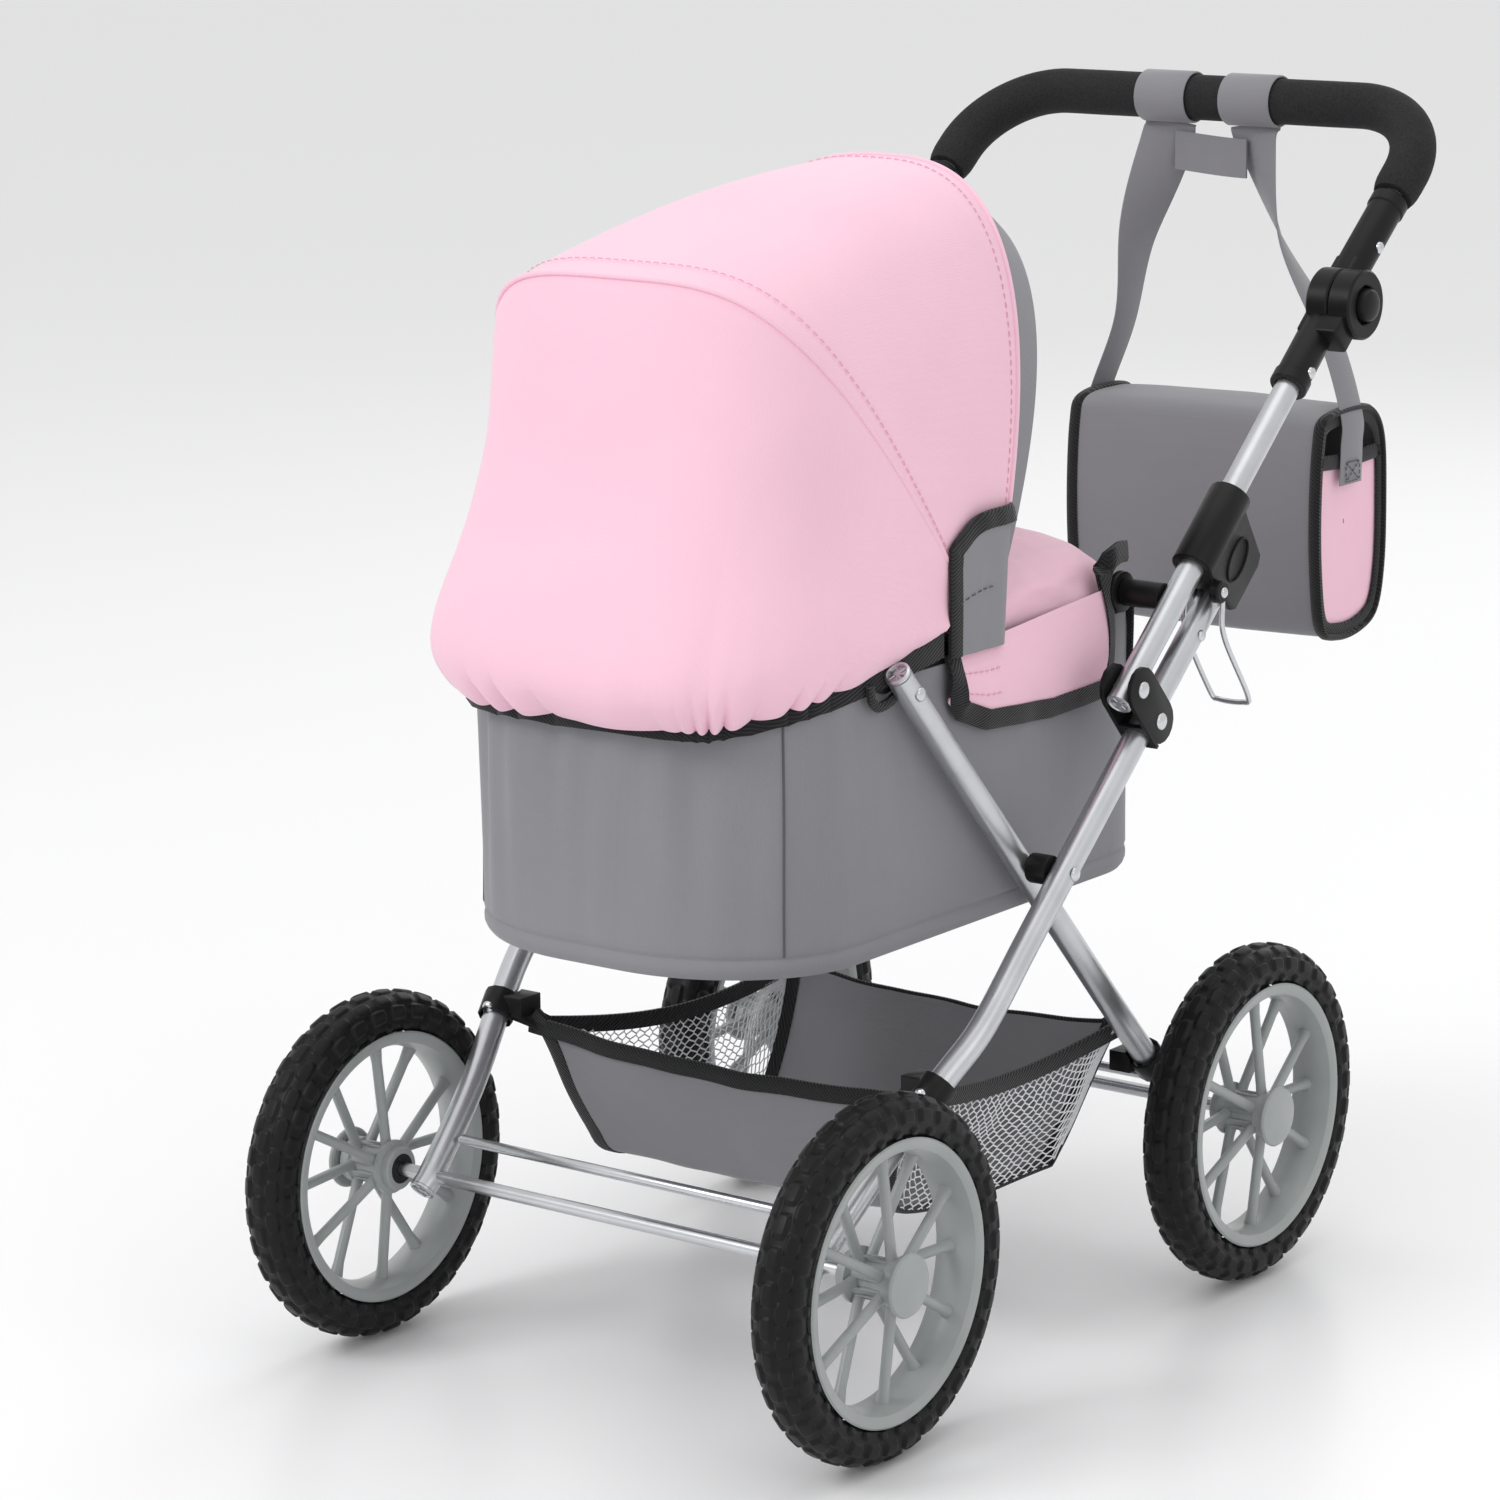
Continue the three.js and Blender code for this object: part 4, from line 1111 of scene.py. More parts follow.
def puffed(source, name, material, pressure, cap):
    """A stuffed copy of a closed mesh: remeshed, blown up as cloth by at most `cap` and smoothed."""
    obj = linked(name, source.data.copy())
    remesh = obj.modifiers.new("remesh", "REMESH")
    remesh.mode = "VOXEL"
    remesh.voxel_size = 0.006
    baked(obj)
    start = np.array([v.co for v in obj.data.vertices])
    settings = obj.modifiers.new("cloth", "CLOTH").settings
    settings.use_pressure = True
    settings.uniform_pressure_force = pressure
    settings.effector_weights.gravity = 0
    settings.quality = 4
    scene = bpy.context.scene
    for number in range(1, 21):
        scene.frame_set(number)
    baked(obj)
    scene.frame_set(1)
    moved = np.array([v.co for v in obj.data.vertices]) - start
    moved *= np.minimum(1, cap / np.maximum(length_of(moved), 1e-9))
    obj.data.vertices.foreach_set("co", (start + moved).ravel())
    smooth = obj.modifiers.new("smooth", "SUBSURF")
    smooth.levels = smooth.render_levels = 1
    baked(obj)
    obj.data.materials.clear()
    obj.data.materials.append(material)
    obj.data.shade_smooth()
    bpy.data.objects.remove(source)
    return obj


def baked(obj):
    """Applies an object's modifiers to its mesh."""
    graph = bpy.context.evaluated_depsgraph_get()
    mesh = bpy.data.meshes.new_from_object(obj.evaluated_get(graph))
    obj.modifiers.clear()
    obj.data = mesh


def mattress():
    low, high = 254.5, 266
    outline = cot_outline(-12, 120)
    levels = [(low, 0.02), (low, 0.98), (low + 2, 1.0), (high - 2, 1.0)]
    levels += [(high + 2 * (1 - s ** 4), s) for s in (0.96, 0.85, 0.65, 0.4, 0.02)]
    block = stacked("block", outline, outline.mean(axis=0), levels, lambda z, y: z, PAD)
    return puffed(block, "mattress_pad", PAD, pressure=2, cap=0.004)


# ------------------------------------------------------------ hood
def power(value, fullness):
    return math.copysign(abs(value) ** (2 / fullness), value)


def arch(u, bow, inset=0.0):
    """A point on a hood bow, in mm: `u` runs from the left foot to the right one."""
    x = (HOOD_HALF - inset) * power(math.cos(u), bow["fullness"])
    reach = (bow["reach"] - inset) * power(math.sin(u), bow["fullness"])
    y, z = step(HOOD_PIVOT, bow["angle"], reach)
    return np.array((x, y, z))


def hem(u):
    """The elastic hem, in mm: round the cot's head end just below its rim."""
    across = power(math.cos(u), HEM["fullness"])
    forward = power(math.sin(u), HEM["fullness"])
    rise = max(0, 1 - forward * 1.08) ** 0.8
    return np.array((
        (HOOD_HALF + 1.2 + 5 * math.sin(u)) * across,
        HEM["side"] + (HEM["front"] - HEM["side"]) * forward,
        HEM["dip"] + (HEM["side_height"] - HEM["dip"]) * rise,
    ))


def outward(u):
    """The way out from the cot at `u`, level."""
    here, there = hem(u - 0.02), hem(u + 0.02)
    run = there - here
    out = np.array((-run[1], run[0], 0.0))
    out /= max(np.linalg.norm(out), 1e-9)
    return out if out.dot(hem(u) - np.array((0, 120, 400))) > 0 else -out


def gather(u):
    """The elastic's pleats, from -1 in a crease to 1 on a lobe, uneven along the hem."""
    turn = 24 * u + 2.2 * math.sin(5 * u + 1) + 1.6 * math.sin(11 * u)
    lobe = abs(math.sin(turn)) ** 0.75
    uneven = min(1.5, max(0.15, 0.8 + 1.1 * ripple((u * 5, 0.3, 0.7), 1.0, 17)))
    return (2 * lobe - 1) * uneven


U_END = 0.02
HOOD_COLUMNS = 640


def hood_turns(count):
    return [U_END + (math.pi - 2 * U_END) * j / count for j in range(count + 1)]


def head_profile(u, t):
    """The front panel in mm: from the hem (t = 0) it swells over the elastic, then runs up to the bow."""
    low = hem(u)
    high = arch(u, FRONT_BOW)
    swell = 25 * (t / 0.15) * math.exp(1 - t / 0.15) * (1 - t ** 6) - 9 * t * math.sin(math.pi * t) ** 2
    return low + (high - low) * t + outward(u) * (1.0 + swell * math.sin(u) ** 0.8)


def make_front_panel():
    """The cloth from the elastic hem up to the front bow, with pleats at the hem."""
    rows = []
    count = 70
    turns = hood_turns(HOOD_COLUMNS)
    for i in range(count + 1):
        t = (i / count) ** 1.5
        row = []
        for u in turns:
            fade = math.sin(u) ** 0.5
            pleat = gather(u) * math.exp(-(t / 0.055) ** 1.4) * fade
            fold = ripple((u * 9, t * 2.2, 0.4), 1.0, 23) * math.exp(-(t / 0.26) ** 2) * fade
            point = head_profile(u, t)
            slack = ripple(point * MM, 0.08, 4) * 2.4 + ripple(point * MM, 0.03, 5) * 0.5
            slack *= math.sin(math.pi * t)
            crease = 1.8 * math.exp(-((1 - t) / 0.012) ** 2)
            point = point + outward(u) * (3.0 * pleat + 1.8 * fold + slack) - hood_out(point) * crease
            point[2] -= 2.0 * math.exp(-(t / 0.03) ** 2) * fade + 1.8 * pleat
            row.append(at(*point))
        rows.append(row)
    panel = sheet_mesh("hood_front_cloth", rows, 0.0012, [PINK, LINING], at(*HOOD_CORE), sharp=80)
    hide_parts("hood_front_panel")
    return panel


def rear_panel_point(u, s):
    """A point of the rear panel: `s` from the front bow to the rim bow."""
    front = arch(u, FRONT_BOW)
    rear = arch(u, RIM_BOW)
    chord = front + (rear - front) * s
    mix = {key: FRONT_BOW[key] + (RIM_BOW[key] - FRONT_BOW[key]) * s for key in FRONT_BOW}
    return chord + (arch(u, mix) - chord) * 0.35


def hood_out(point):
    """Straight out from the hood's pivot line at a point in mm."""
    d = point - np.array((0, HOOD_PIVOT[0], HOOD_PIVOT[1] + 60))
    return d / max(np.linalg.norm(d), 1e-9)


def make_rear_panel():
    rows = []
    count = 56
    for i in range(count + 1):
        s = i / count
        row = []
        for u in hood_turns(HOOD_COLUMNS):
            p = rear_panel_point(u, s)
            sag = -2.5 * math.sin(math.pi * s) * math.sin(u) ** 2
            slack = 1.6 * ripple(p * MM, 0.08, 12) * math.sin(math.pi * s)
            seam = -0.7 * math.exp(-((s - 0.075) / 0.012) ** 2)
            row.append(at(*(p + hood_out(p) * (sag + slack + seam))))
        rows.append(row)
    panel = sheet_mesh("hood_rear_cloth", rows, 0.0012, [PINK, LINING], at(*HOOD_CORE))
    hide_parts("hood_rear_panel")
    return panel


def make_visor():
    """The grey lining that turns out behind the rim bow."""
    rows = []
    for i in range(9):
        t = i / 8
        bow = {"reach": RIM_BOW["reach"] - 2 - 9 * t, "angle": RIM_BOW["angle"] - math.radians(9) * t ** 1.2,
               "fullness": RIM_BOW["fullness"]}
        rows.append([at(*arch(u, bow, 0.5)) for u in hood_turns(200)])
    visor = sheet_mesh("hood_visor", rows, 0.0014, [LINING], at(*HOOD_CORE))
    placed(visor, "hood_rim", "grey_fabric")


def make_hood():
    panel = make_front_panel()
    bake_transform(panel)
    rear = make_rear_panel()
    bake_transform(rear)
    make_visor()

    turns = hood_turns(200)
    bow_line = [arch(u, FRONT_BOW) for u in turns]
    seam = sweep("hood_bow_seam", [at(*p) for p in bow_line], ring(0.0016, 8), PINK)
    placed(seam, "hood_front", "pink_fabric")
    sewn = [rear_panel_point(u, 0.075) for u in turns]
    sewn = [at(*(p + hood_out(p) * 0.2)) for p in sewn]
    ups = [hood_out(p) for p in bow_line]
    stitches("hood_bow_stitches", sewn, "hood_front", ups, "pink_fabric", THREAD_PINK)
    edge = [rear_panel_point(u, 0.955) for u in turns]
    ups = [hood_out(p) for p in edge]
    stitches("hood_rim_stitches", [at(*p) for p in edge], "hood_rim", ups, "pink_fabric", THREAD_PINK)
    rim = [at(*rear_panel_point(u, 1.0)) for u in turns]
    placed(sweep("hood_rim_edge", rim, ring(0.0016, 8), PINK), "hood_rim", "pink_fabric")

    for body, bow in (("hood_front", FRONT_BOW), ("hood_rim", RIM_BOW)):
        node = f"{body}_bow"
        path = [at(*arch(u, bow, 6.5)) for u in hood_turns(120)]
        placed(tube(f"{node}_wire", path, 0.002, STEEL, sides=12), body, "steel", node)
    make_elastic()


def make_elastic():
    """The black band that shows below the hem, narrow round the head and deep at the sides."""
    rows = []
    for i in range(7):
        row = []
        for u in hood_turns(HOOD_COLUMNS):
            fade = math.sin(u) ** 0.6
            depth = 11 + 8 * (1 - math.sin(u))
            p = hem(u) - outward(u) * (0.6 - 0.7 * gather(u) * fade)
            p[2] += 4 - depth * i / 6 + 0.8 * gather(u) * fade
            row.append(at(*p))
        rows.append(row)
    band = sheet_mesh("hood_elastic_band", rows, 0.0012, [BINDING], at(*HOOD_CORE))
    placed(band, "cot", "black_plastic")
    for name, side in SIDES:
        stops = [(64, 401), (66, 392), (74, 387), (88, 390), (97, 399)]
        path = catmull([at((HOOD_HALF + 1.5) * side, y, z) for y, z in stops], 30)
        core = at(HOOD_HALF * side, 81, 404)
        ins = [tuple(core - Vector(p)) for p in path]
        bound(f"hood_loop_tab_{name}", path, [(side, 0, 0)] * len(path), ins, "cot",
              width=4)


# ------------------------------------------------------------ quilt
SKIRT_FOOT = [(140, 380), (150, 368), (175, 359), (240, 354), (290, 356), (304, 362)]


def quilt_top():
    """A crowned pad over the foot end of the cot, highest towards its front edge."""
    back = 197.0
    outline = np.array([(x, max(y, back)) for x, y in cot_outline(0, 160)])
    centre = np.array((0.0, 270.0))
    levels = [(-8, 0.02), (-8, 0.96), (-3, 1.0), (2, 1.0)]
    levels += [(3 + 42 * (1 - s ** 3) ** 0.8, s) for s in (0.985, 0.95, 0.88, 0.78, 0.62, 0.42, 0.22, 0.02)]

    def height(z, y):
        return 407 + z * (1 - 0.3 * (y - back) / (COT["rear"] - back) if z > 4 else 1)

    block = stacked("block", outline, centre, levels, height, PINK)
    pad = puffed(block, "quilt_top_pad", PINK, pressure=4, cap=0.006)
    for v in pad.data.vertices:
        share = min(1, max(0, (v.co.z - at(0, 0, 409).z) / 0.02))
        v.co.z += share * 0.0022 * ripple(v.co, 0.045, 61) + share * 0.0012 * ripple(v.co, 0.016, 62)
    return pad


def skirt_foot(y):
    return float(np.interp(y, *zip(*SKIRT_FOOT)))


def make_skirt(name, side):
    """The quilt's side skirt, hanging outside the tub as far as the notch for the peg."""
    rows = []
    columns = 90
    start, stop = 141, 303
    for i in range(19):
        t = i / 18
        row = []
        for j in range(columns + 1):
            y = start + (stop - start) * j / columns
            foot = skirt_foot(y) + 0.8 * ripple((y * 0.03, side, 0), 1.0, 3)
            top = 405 + (y - start) * 0.075 + 8 * max(0, (y - 292) / 11) ** 2
            z = foot + (top - foot) * t
            lean = 4 * math.sin(math.pi * t) * (1 if y < 290 else (303 - y) / 13)
            drape = 2.2 * ripple((y * 0.022, t * 0.8, side), 1.0, 2)
            drape += 0.7 * ripple((y * 0.06, t, side), 1.0, 6)
            x = 124.6 + drape * (1 - t * 0.75) + lean - 2.2 * t
            row.append(at(x * side, y + 2.5 * math.sin(math.pi * t) * (y > 280), z))
        rows.append(row)
    skirt = sheet_mesh(f"quilt_skirt_{name}", rows, 0.0014, [PINK, LINING], at(0, 240, 390))
    placed(skirt, "cot", "pink_fabric")
    line = [(rows[i][0], rows[i][6]) for i in range(18, 3, -1)]
    line += [(rows[0][j], rows[4][max(4, min(columns - 4, j))]) for j in range(2, columns - 1)]
    line += [(rows[i][columns], rows[i][columns - 6]) for i in range(4, 19)]
    top = rows[18][columns]
    for back, up in ((9, 3), (19, 4), (29, 3)):
        point = top + Vector((-0.0025 * side * back / 10, back * MM, up * MM))
        line.append((point, point + Vector((-0.001 * side, -0.001, 0.01))))
    path, inner = even_pair(*zip(*line), 0.004)
    outs = [(side, 0, 0.2)] * len(path)
    bound(f"quilt_skirt_binding_{name}", path, outs, inner - path, "cot", width=11)
    for level in (0.42, 0.72):
        line = [rows[int(18 * level)][j] + Vector((0.0002 * side, 0, 0)) for j in range(6, 27)]
        stitches(f"skirt_stitches_{name}_{int(level * 100)}", line, "cot", [(side, 0, 0)] * 2,
                 "pink_fabric", THREAD_PINK)


def guard_plan():
    """The turned-up wind guard's plan: a side wing, a round corner and straight across."""
    half = [(127.5, y) for y in np.linspace(139, 186, 16)]
    half += [(116.5 + 11 * math.cos(t), 186 + 11 * math.sin(t)) for t in np.linspace(0.1, math.pi / 2, 10)]
    half += [(x, 197.0) for x in np.linspace(112, 0, 24)]
    return half + [(-x, y) for x, y in reversed(half[:-1])]


def make_guard():
    """The quilt's front edge, turned up so that its grey lining shows on the wings."""
    plan = guard_plan()
    rows = []
    for i in range(21):
        t = i / 20
        row = []
        for x, y in plan:
            wing = min(1, max(0, (y - 139) / 34))
            top = 464 + 16 * math.sin(wing * math.pi / 2)
            z = 404 + (top - 404) * t
            wave = 1.5 * ripple((x * 0.03, y * 0.03, t), 1.0, 9)
            wave += 0.8 * ripple((x * 0.09, y * 0.09, t * 2), 1.0, 10)
            lean = 6 * t if y > 190 else 0
            row.append(at(x + math.copysign(wave + 0.8 * t, x), y + lean + wave * 0.5, z))
        rows.append(row)
    guard = sheet_mesh("quilt_wind_guard", rows, 0.0016, [LINING, PINK], at(0, 150, 440))
    placed(guard, "cot", "grey_fabric")
    left = [Vector(rows[i][0]) for i in range(21)]
    right = [Vector(rows[i][-1]) for i in range(21)]
    path = even([tuple(p) for p in left[:-1] + [Vector(p) for p in rows[-1]] + right[::-1][1:]], 0.004)
    outs = []
    ins = []
    for p in path:
        share = min(1, max(0, (abs(p[0]) - 0.108) / 0.018))
        outs.append((math.copysign(share, p[0]), 1 - share, 0))
        low = p[2] < at(0, 0, 456).z
        ins.append((0, 1, 0.1) if low and share > 0.5 else (0, 0.35 * share, -1))
    bound("quilt_guard_binding", path, outs, ins, "cot", width=9)
    for name, side in SIDES:
        columns = range(2, 14) if side > 0 else range(len(plan) - 14, len(plan) - 2)
        line = [rows[9][j] + Vector((0.0003 * side, 0, 0)) for j in columns]
        stitches(f"guard_stitches_{name}", line, "cot", [(side, 0, 0)] * 2, "grey_fabric", THREAD_GREY)


def make_quilt():
    top = quilt_top()
    placed(top, "cot", "pink_fabric", "cover")
    for name, side in SIDES:
        make_skirt(name, side)
    make_foot_skirt()
    make_guard()


def make_foot_skirt():
    """The skirt round the foot end, between the two notches."""
    outline = [p for p in cot_outline(3.5, 900) if p[1] > 331]
    line = sorted(outline, key=lambda p: -p[0])
    line = even([(x, y, 0) for x, y in line], 3.0)
    rows = []
    for i in range(13):
        t = i / 12
        row = []
        for x, y, _ in line:
            z = 366 + (412 - 366) * t
            wave = 1.6 * ripple((x * 0.03, y * 0.03, t), 1.0, 15) * (1 - t)
            scale = 1 + wave / 130
            row.append(at(x * scale, y + wave, z))
        rows.append(row)
    skirt = sheet_mesh("quilt_skirt_foot", rows, 0.0014, [PINK, LINING], at(0, 240, 390))
    placed(skirt, "cot", "pink_fabric")
    foot = [tuple(p) for p in rows[0]]
    left = [tuple(rows[i][0]) for i in range(12, 0, -1)]
    right = [tuple(rows[i][-1]) for i in range(1, 13)]
    path = even(left + foot + right, 0.004)
    outs = [tuple(Vector(p) - at(0, 300, p[2] / MM)) for p in path]
    ins = [tuple(at(0, 362, 405) - Vector(p)) for p in path]
    bound("quilt_foot_binding", path, outs, ins, "cot", width=11)


# ------------------------------------------------------------ basket
BASKET = {"front_half": 136, "rear_half": 121, "low_half": 104, "front_top": (92, 171), "rear_top": (320, 158),
          "front_low": (113, 92), "rear_low": (268, 78)}


def basket_edge(side, share):
    """A point on the basket's side rim, `share` from the front clamp to the rear one."""
    y0, z0 = BASKET["front_top"]
    y1, z1 = BASKET["rear_top"]
    half = BASKET["front_half"] + (BASKET["rear_half"] - BASKET["front_half"]) * share
    sag = math.sin(math.pi * share)
    return at((half - 7 * sag) * side, y0 + (y1 - y0) * share, z0 + (z1 - z0) * share - 11 * sag)


def hammock_line(x_share):
    """The cloth's line from the front edge down, along the floor and up to the rear edge."""
    middle_of = 1 - x_share ** 2
    dip = 8 * middle_of
    full = 5 * middle_of
    front, rear = BASKET["front_top"], BASKET["rear_top"]
    f0, r0 = BASKET["front_low"], BASKET["rear_low"]
    points = [(front[0], front[1] - dip), (front[0] + 7 - full, front[1] - 40),
              (f0[0] - 5 - full * 0.5, f0[1] + 14), (f0[0] + 12, f0[1] - 3),
              ((f0[0] + r0[0]) / 2, (f0[1] + r0[1]) / 2 - 4 - full * 0.4),
              (r0[0] - 12, r0[1] - 2), (r0[0] + 8, r0[1] + 12),
              (rear[0] - 20, rear[1] - 34), (rear[0], rear[1] - dip)]
    return catmull([(0, y, z) for y, z in points], 90)


def hammock_half(share):
    """Half the hammock's width at `share` of its length: narrower along its floor."""
    rim = BASKET["front_half"] + (BASKET["rear_half"] - BASKET["front_half"]) * share
    return rim + (BASKET["low_half"] - rim) * math.sin(math.pi * share) ** 0.6


def hangs_between(obj):
    """Bakes a basket piece's transform into its mesh."""
    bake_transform(obj)


def make_basket():
    rows = []
    columns = 60
    for j in range(columns + 1):
        x_share = -1 + 2 * j / columns
        line = hammock_line(x_share)
        row = []
        for i, (_, y, z) in enumerate(line):
            share = i / (len(line) - 1)
            x = hammock_half(share) * x_share
            wave = 1.2 * ripple((x * 0.03, y * 0.03, z * 0.03), 1.0, 21)
            row.append(at(x, y + wave, max(z + wave, 80)))
        rows.append(row)
    hammock = sheet_mesh("basket_cloth", rows, 0.0014, [GREY, LINING], at(0, 200, 160))
    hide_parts("basket")
    hangs_between(hammock)
    for name, side in SIDES:
        make_basket_side(name, side, rows[columns if side > 0 else 0])
        make_basket_ties(name, side)
    for end, index in (("front", 0), ("rear", -1)):
        path = even([tuple(rows[j][index]) for j in range(columns + 1)], 0.004)
        outs = [(0, -1, -0.2) if end == "front" else (0, 1, -0.4)] * len(path)
        hangs_between(bound(f"basket_{end}_binding", path, outs, [(0, 0, -1)] * len(path)))


def make_basket_side(name, side, edge):
    """A net side panel between the cloth's edge and a bound rim, and the bindings on both."""
    lower = even(edge, 0.002)
    rim_run = even([tuple(basket_edge(side, k / 60)) for k in range(61)], 0.002)
    width, height = 70, 24
    stops = np.linspace(0, len(lower) - 1, width + 1)
    tops = np.linspace(0, len(rim_run) - 1, width + 1)
    grid = []
    for i in range(height + 1):
        t = i / height
        row = []
        for j in range(width + 1):
            p = Vector(lower[int(round(stops[j]))]).lerp(Vector(rim_run[int(round(tops[j]))]), t)
            p.x += side * 0.006 * math.sin(math.pi * t) * (0.4 + ripple((j * 0.1, t * 2, side), 1.0, 31))
            row.append(p)
        grid.append(row)
    net = joined(f"basket_net_{name}", net_threads(grid, width, height))
    hangs_between(net)
    path = even(lower, 0.004)
    run = np.gradient(path, axis=0)
    outs = [(0, r[2], -r[1]) for r in run]
    ins = [(-side, 0, 0)] * len(path)
    hangs_between(bound(f"basket_side_binding_{name}", path, outs, ins))
    path = even(rim_run, 0.004)
    outs = [(side, 0, 0)] * len(path)
    hangs_between(bound(f"basket_rim_binding_{name}", path, outs, [(0, 0, -1)] * len(path)))


def make_basket_ties(name, side):
    """Short webbing from the basket's corners to the clamps on the legs."""
    for end, body, half, corner in (("front", "front_frame", BASKET["front_half"], BASKET["front_top"]),
                                    ("rear", "rear_frame", BASKET["rear_half"], BASKET["rear_top"])):
        clamp = middle(f"{end}_basket_clamp_{name}")
        start = at((half - 9) * side, corner[0] + (4 if end == "front" else -4), corner[1] - 4)
        path = catmull([start, at((half - 1) * side, *corner), clamp], 14)
        tie = sweep(f"basket_{end}_tie_{name}", path, strip_section(0.011, 0.003), BINDING,
                    ups=[(0, -0.8, 0.6)] * 14)
        placed(tie, body, "black_plastic")
        if end == "front":
            head = rivet(clamp + Vector((0.003 * side, -0.0115, 0.002)), Vector((0, -1, 0.15)), 3.6)
            placed(head, body, "steel").name = f"basket_clamp_rivet_{name}"


def net_threads(grid, width, height):
    """Zigzag threads that make a net of six-sided holes on a grid of points."""
    def high(i, j):
        return (i + j) % 2 == 1

    def knot(i, j):
        return grid[i][j].lerp(grid[i + 1][j], 0.82 if high(i, j) else 0.18)

    objects = []
    for i in range(height):
        objects.append(sweep("thread", [knot(i, j) for j in range(width + 1)], ring(0.0005, 4), NET))
    for i in range(height - 1):
        for j in range(width + 1):
            if high(i, j):
                objects.append(sweep("link", [knot(i, j), knot(i + 1, j)], ring(0.00052, 4), NET))
    return objects


# ------------------------------------------------------------ bag
BAG = {"low": (-76, 562, 338), "high": (104, 642, 480)}


def bag_section(count=96):
    """The bag's outline from its side, as (y, z) in mm: flat back, round flap and full foot."""
    y0, y1 = BAG["low"][1], BAG["high"][1]
    z0, z1 = BAG["low"][2], BAG["high"][2]
    stops = [(y0 + 10, z1 - 3), (y0 + 2, z1 - 18), (y0 - 1, z1 - 60), (y0 + 1, z0 + 40), (y0 + 8, z0 + 8),
             (y0 + 26, z0 + 1), (y1 - 30, z0 + 2), (y1 - 10, z0 + 12), (y1 - 2, z0 + 40), (y1 - 1, z1 - 60),
             (y1 - 4, z1 - 22), (y1 - 16, z1 - 4), (y1 - 36, z1)]
    return catmull([(0, y, z) for y, z in stops], count, closed=True)


def make_bag():
    section = bag_section()
    x0, x1 = BAG["low"][0], BAG["high"][0]
    rows = []
    columns = 44
    for j in range(columns + 1):
        t = j / columns
        x = x0 + 2 + (x1 - x0 - 4) * t
        row = []
        middle_yz = section[:, 1:].mean(axis=0)
        for _, y, z in section:
            puff = 1 + 0.025 * math.sin(math.pi * t) + 0.014 * ripple((x * 0.02, y * 0.03, z * 0.02), 1.0, 41)
            yz = middle_yz + (np.array((y, z)) - middle_yz) * puff
            row.append(at(x, *yz))
        rows.append(row)
    body = sheet_mesh("bag_shell", rows, 0.0016, [GREY, LINING], at(14, 602, 410), wrap=True)
    placed(body, "bag", "grey_fabric", "bag")
    for name, x, side in (("left", x1 - 2, 1), ("right", x0 + 2, -1)):
        make_gusset(name, x, side, section)


def make_gusset(name, x, side, section):
    """A pink end panel below a dark pocket mouth, bound in black all round."""
    centre = section[:, 1:].mean(axis=0)
    rows = []
    mouth = BAG["high"][2] - 30
    for share in (1.0, 0.97, 0.9, 0.78, 0.6, 0.4, 0.2, 0.02):
        row = []
        for _, y, z in section:
            py, pz = centre + (np.array((y, z)) - centre) * share
            pz = min(pz, mouth)
            dish = -2.5 * (1 - share) + 1.2 * ripple((py * 0.04, pz * 0.04, side), 1.0, 51) * (1 - share)
            row.append(at(x + side * dish, py, pz))
        rows.append(row)
    panel = sheet_mesh(f"bag_gusset_{name}", rows, 0.0012, [PINK], at(x - side * 60, 602, 380), wrap=True)
    placed(panel, "bag", "pink_fabric")
    path = even([tuple(at(x + side * 0.6, y, z)) for _, y, z in section], 0.003)
    ups = [(Vector(p) - at(x, *centre)).normalized() for p in path]
    tape = sweep(f"bag_binding_{name}", path, strip_section(0.0075, 0.004), BINDING, ups=ups, closed=True)
    inner = [tuple(at(x + side * 1.0, *(centre + (np.array((y, z)) - centre) * 0.94))) for _, y, z in section]
    inner = even(inner, 0.003)
    face = sweep("face", inner, strip_section(0.009, 0.0022), BINDING, ups=[(side, 0, 0)] * len(inner),
                 closed=True)
    y0, y1 = BAG["low"][1] + 4, BAG["high"][1] - 5
    lip = [at(x + side * 0.8, y0 + (y1 - y0) * k / 20, mouth - 1.5 * math.sin(math.pi * k / 20))
           for k in range(21)]
    bar = sweep("lip", lip, strip_section(0.009, 0.0026), BINDING, ups=[(side, 0, 0)] * 21)
    placed(joined(f"bag_bindings_{name}", [tape, face, bar]), "bag", "black_plastic")


STRAP_WIDTH = 0.036
STRAP_THICKNESS = 0.0016


def strap_loop(x):
    """The strap's turn round the push bar at `x`."""
    radius = GRIP_RADIUS + 1.3
    line = []
    for j in range(49):
        t = math.radians(-90 + 360 * j / 48)
        line.append(at(x, BAR[0] + radius * math.cos(t), BAR[1] + radius * math.sin(t)))
    ups = [(p - at(x, *BAR)).normalized() for p in line]
    return sweep("loop", line, strip_section(STRAP_WIDTH, STRAP_THICKNESS), GREY, ups=ups)


def strap_tail(x, side, end):
    """The strap from its loop at `x` down to the bag's `end`: it turns edge on and narrows."""
    y, z = BAR
    top = BAG["high"][2]
    stops = [(x, y, z - GRIP_RADIUS - 1.3 + 1), (x + side * 3, y - 1, z - 30), (x + side * 22, y - 3, z - 85),
             (end - side * 16, y - 5, z - 140), (end + side * 1.5, y - 6, top - 2),
             (end + side * 2.2, y - 6, top - 22), (end + side * 1.6, y - 6, top - 46)]
    count = 70
    ups = []
    sizes = []
    for i in range(count):
        turn = min(1, max(0, (i / (count - 1) - 0.02) / 0.5))
        turn = turn * turn * (3 - 2 * turn)
        ups.append((side * turn, 1 - turn * 0.999, 0.25 * (1 - turn)))
        sizes.append(1 - 0.28 * turn)
    line = catmull([at(*stop) for stop in stops], count)
    return sweep("tail", line, strip_section(STRAP_WIDTH, STRAP_THICKNESS), GREY, ups=ups, scale=sizes)


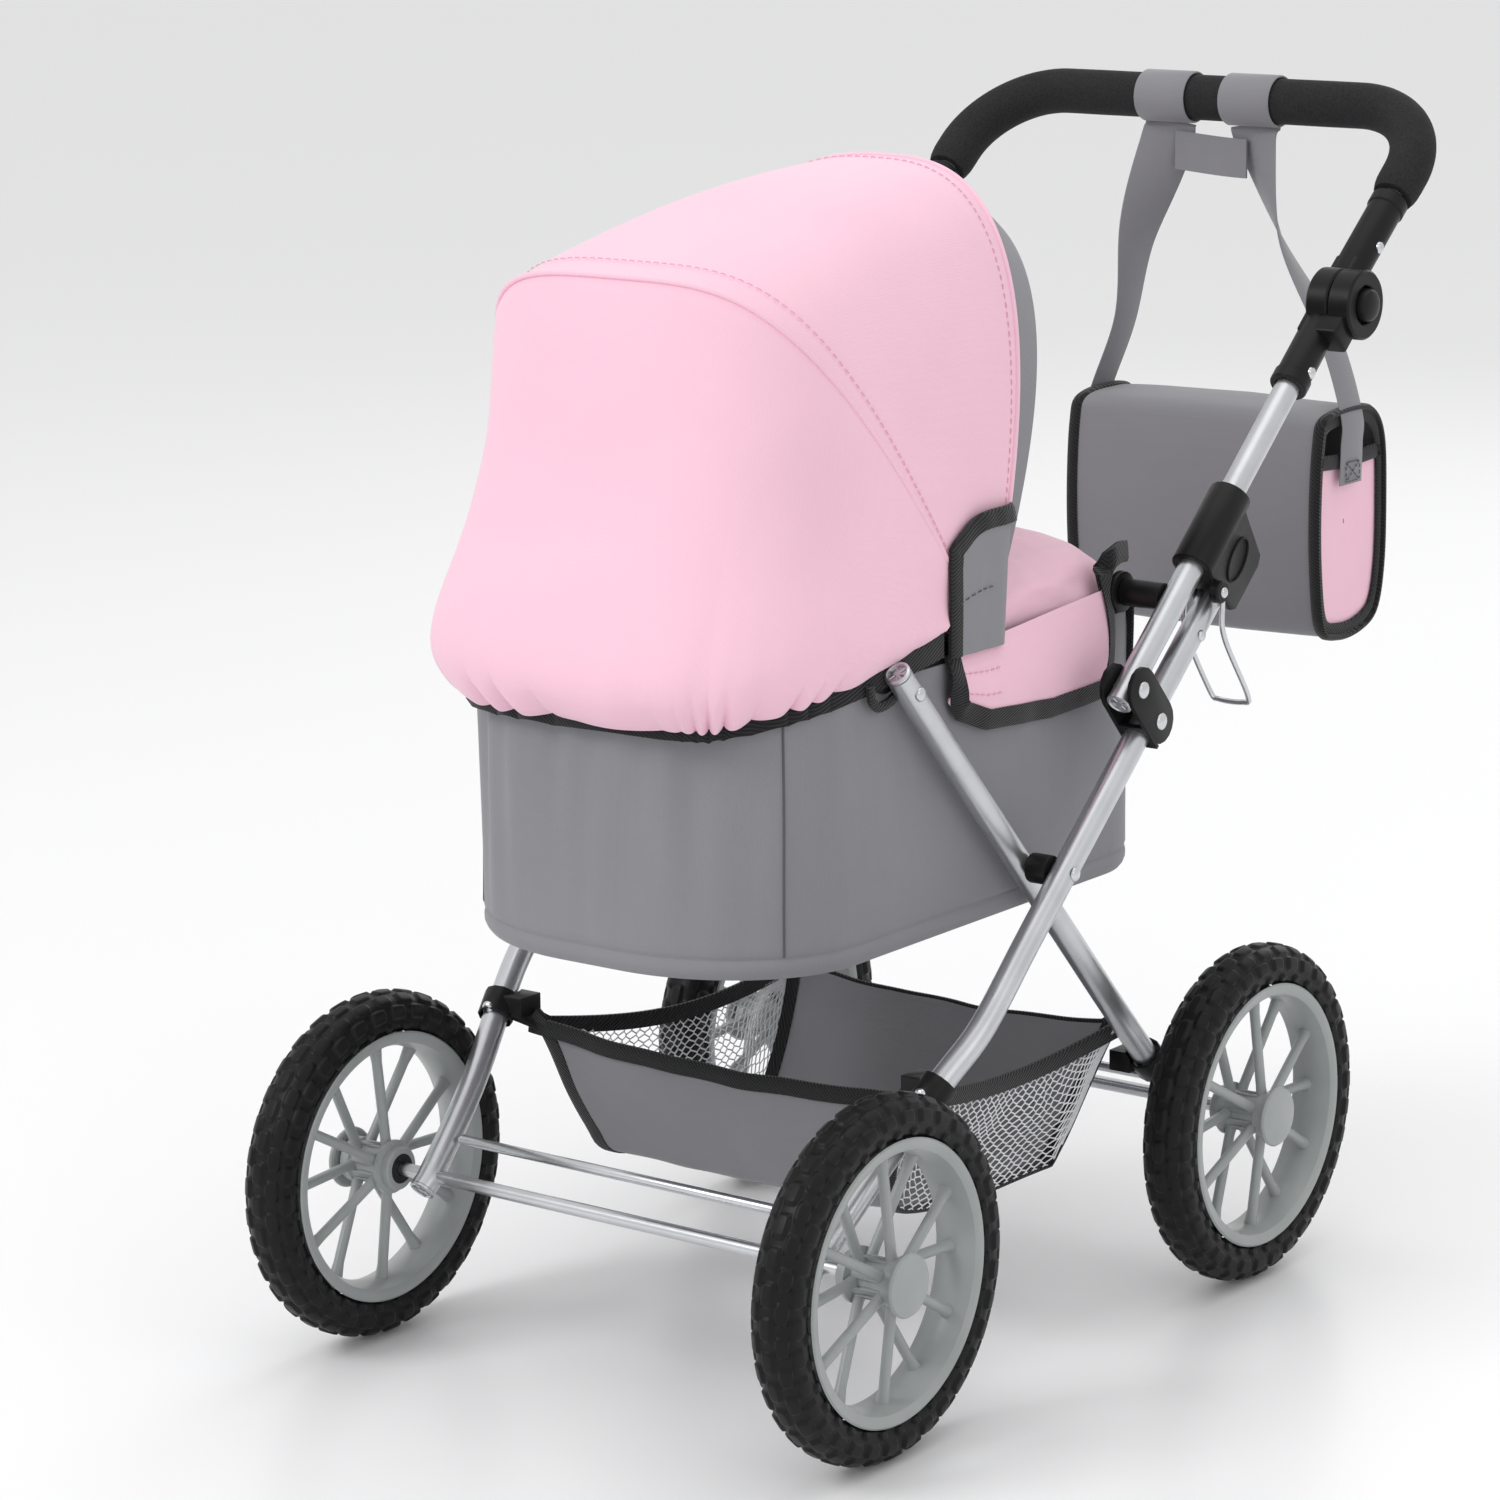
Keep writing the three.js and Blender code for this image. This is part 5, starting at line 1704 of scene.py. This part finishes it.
def strap_tab():
    """The cross piece that joins the two straps below the bar."""
    rows = []
    for i in range(9):
        row = []
        for x in np.linspace(STRAP_X[0] + 4, STRAP_X[1] - 4, 20):
            sag = math.sin(math.pi * (x + 12) / 86)
            row.append(at(x, BAR[0] - 2.5 - 1.5 * sag, BAR[1] - 22 - 24 * (i / 8) - 2 * sag))
        rows.append(row)
    return sheet_mesh("tab", rows, STRAP_THICKNESS, [GREY], at(0, BAR[0] + 60, BAR[1] - 30))


def make_straps():
    parts = []
    for x, side, end in zip(STRAP_X, (-1, 1), (BAG["low"][0], BAG["high"][0])):
        parts += [strap_loop(x), strap_tail(x, side, end)]
    parts.append(strap_tab())
    straps = placed(joined("bag_strap_loops", parts), "bag", "grey_fabric", "bag_strap")
    for name, x, side in (("left", BAG["high"][0], 1), ("right", BAG["low"][0], -1)):
        y, z = BAR[0] - 6, BAG["high"][2] - 38
        corners = [(-8, -6), (8, -6), (8, 6), (-8, 6), (-8, -6), (8, 6), (-8, 6), (8, -6)]
        box = [at(x + side * 3.0, y + a, z + b) for a, b in corners]
        stitches(f"strap_cross_stitch_{name}", box, "bag", [(side, 0, 0)] * 2, "grey_fabric", THREAD_GREY,
                 length=0.0024, gap=0.0014)


# ------------------------------------------------------------ stage
def make_stage():
    bpy.ops.mesh.primitive_plane_add(size=60, location=(0, 0, -0.0005))
    floor = bpy.context.object
    floor.name = "floor"
    floor.data.materials.append(plain_floor("floor_paint", (0.93, 0.93, 0.94)))
    world = bpy.data.worlds.new("studio")
    world.use_nodes = True
    sky = world.node_tree.nodes["Background"].inputs
    sky["Color"].default_value = (1, 1, 1, 1)
    sky["Strength"].default_value = 0.8
    bpy.context.scene.world = world
    for name, place, size, power_watts in (
        ("key", (-1.2, -2.6, 2.6), 1.2, 34),
        ("fill", (2.8, -0.9, 1.6), 1.8, 6),
        ("top", (0.2, 0.3, 3.0), 2.2, 12),
        ("back", (-0.6, 2.8, 1.9), 1.6, 12),
    ):
        light = bpy.data.lights.new(name, "AREA")
        light.size = size
        light.energy = power_watts
        lamp = linked(name, light)
        lamp.location = place
        aim = Vector((0, 0, 0.35)) - Vector(place)
        lamp.rotation_euler = aim.to_track_quat("-Z", "Y").to_euler()
    bpy.context.scene.view_settings.view_transform = "Standard"


def make_camera():
    azimuth, elevation, roll = (math.radians(a) for a in (37.4126, 12.6206, -0.676))
    level = math.cos(elevation)
    back = Vector((math.sin(azimuth) * level, -math.cos(azimuth) * level, math.sin(elevation)))
    right = Vector((math.cos(azimuth), math.sin(azimuth), 0))
    up = back.cross(right)
    turned_right = right * math.cos(roll) + up * math.sin(roll)
    turned_up = up * math.cos(roll) - right * math.sin(roll)
    data = bpy.data.cameras.new("camera")
    data.lens = 116.66
    data.sensor_width = 36
    camera = linked("camera", data)
    rotation = Matrix((turned_right, turned_up, back)).transposed().to_4x4()
    camera.matrix_world = Matrix.Translation((1.6062, -2.2460, 0.9320)) @ rotation
    bpy.context.scene.camera = camera


make_camera()
make_stage()
make_wheels()
make_frame()
make_handle()
make_cot()
make_hood()
make_quilt()
make_basket()
make_bag()
make_straps()
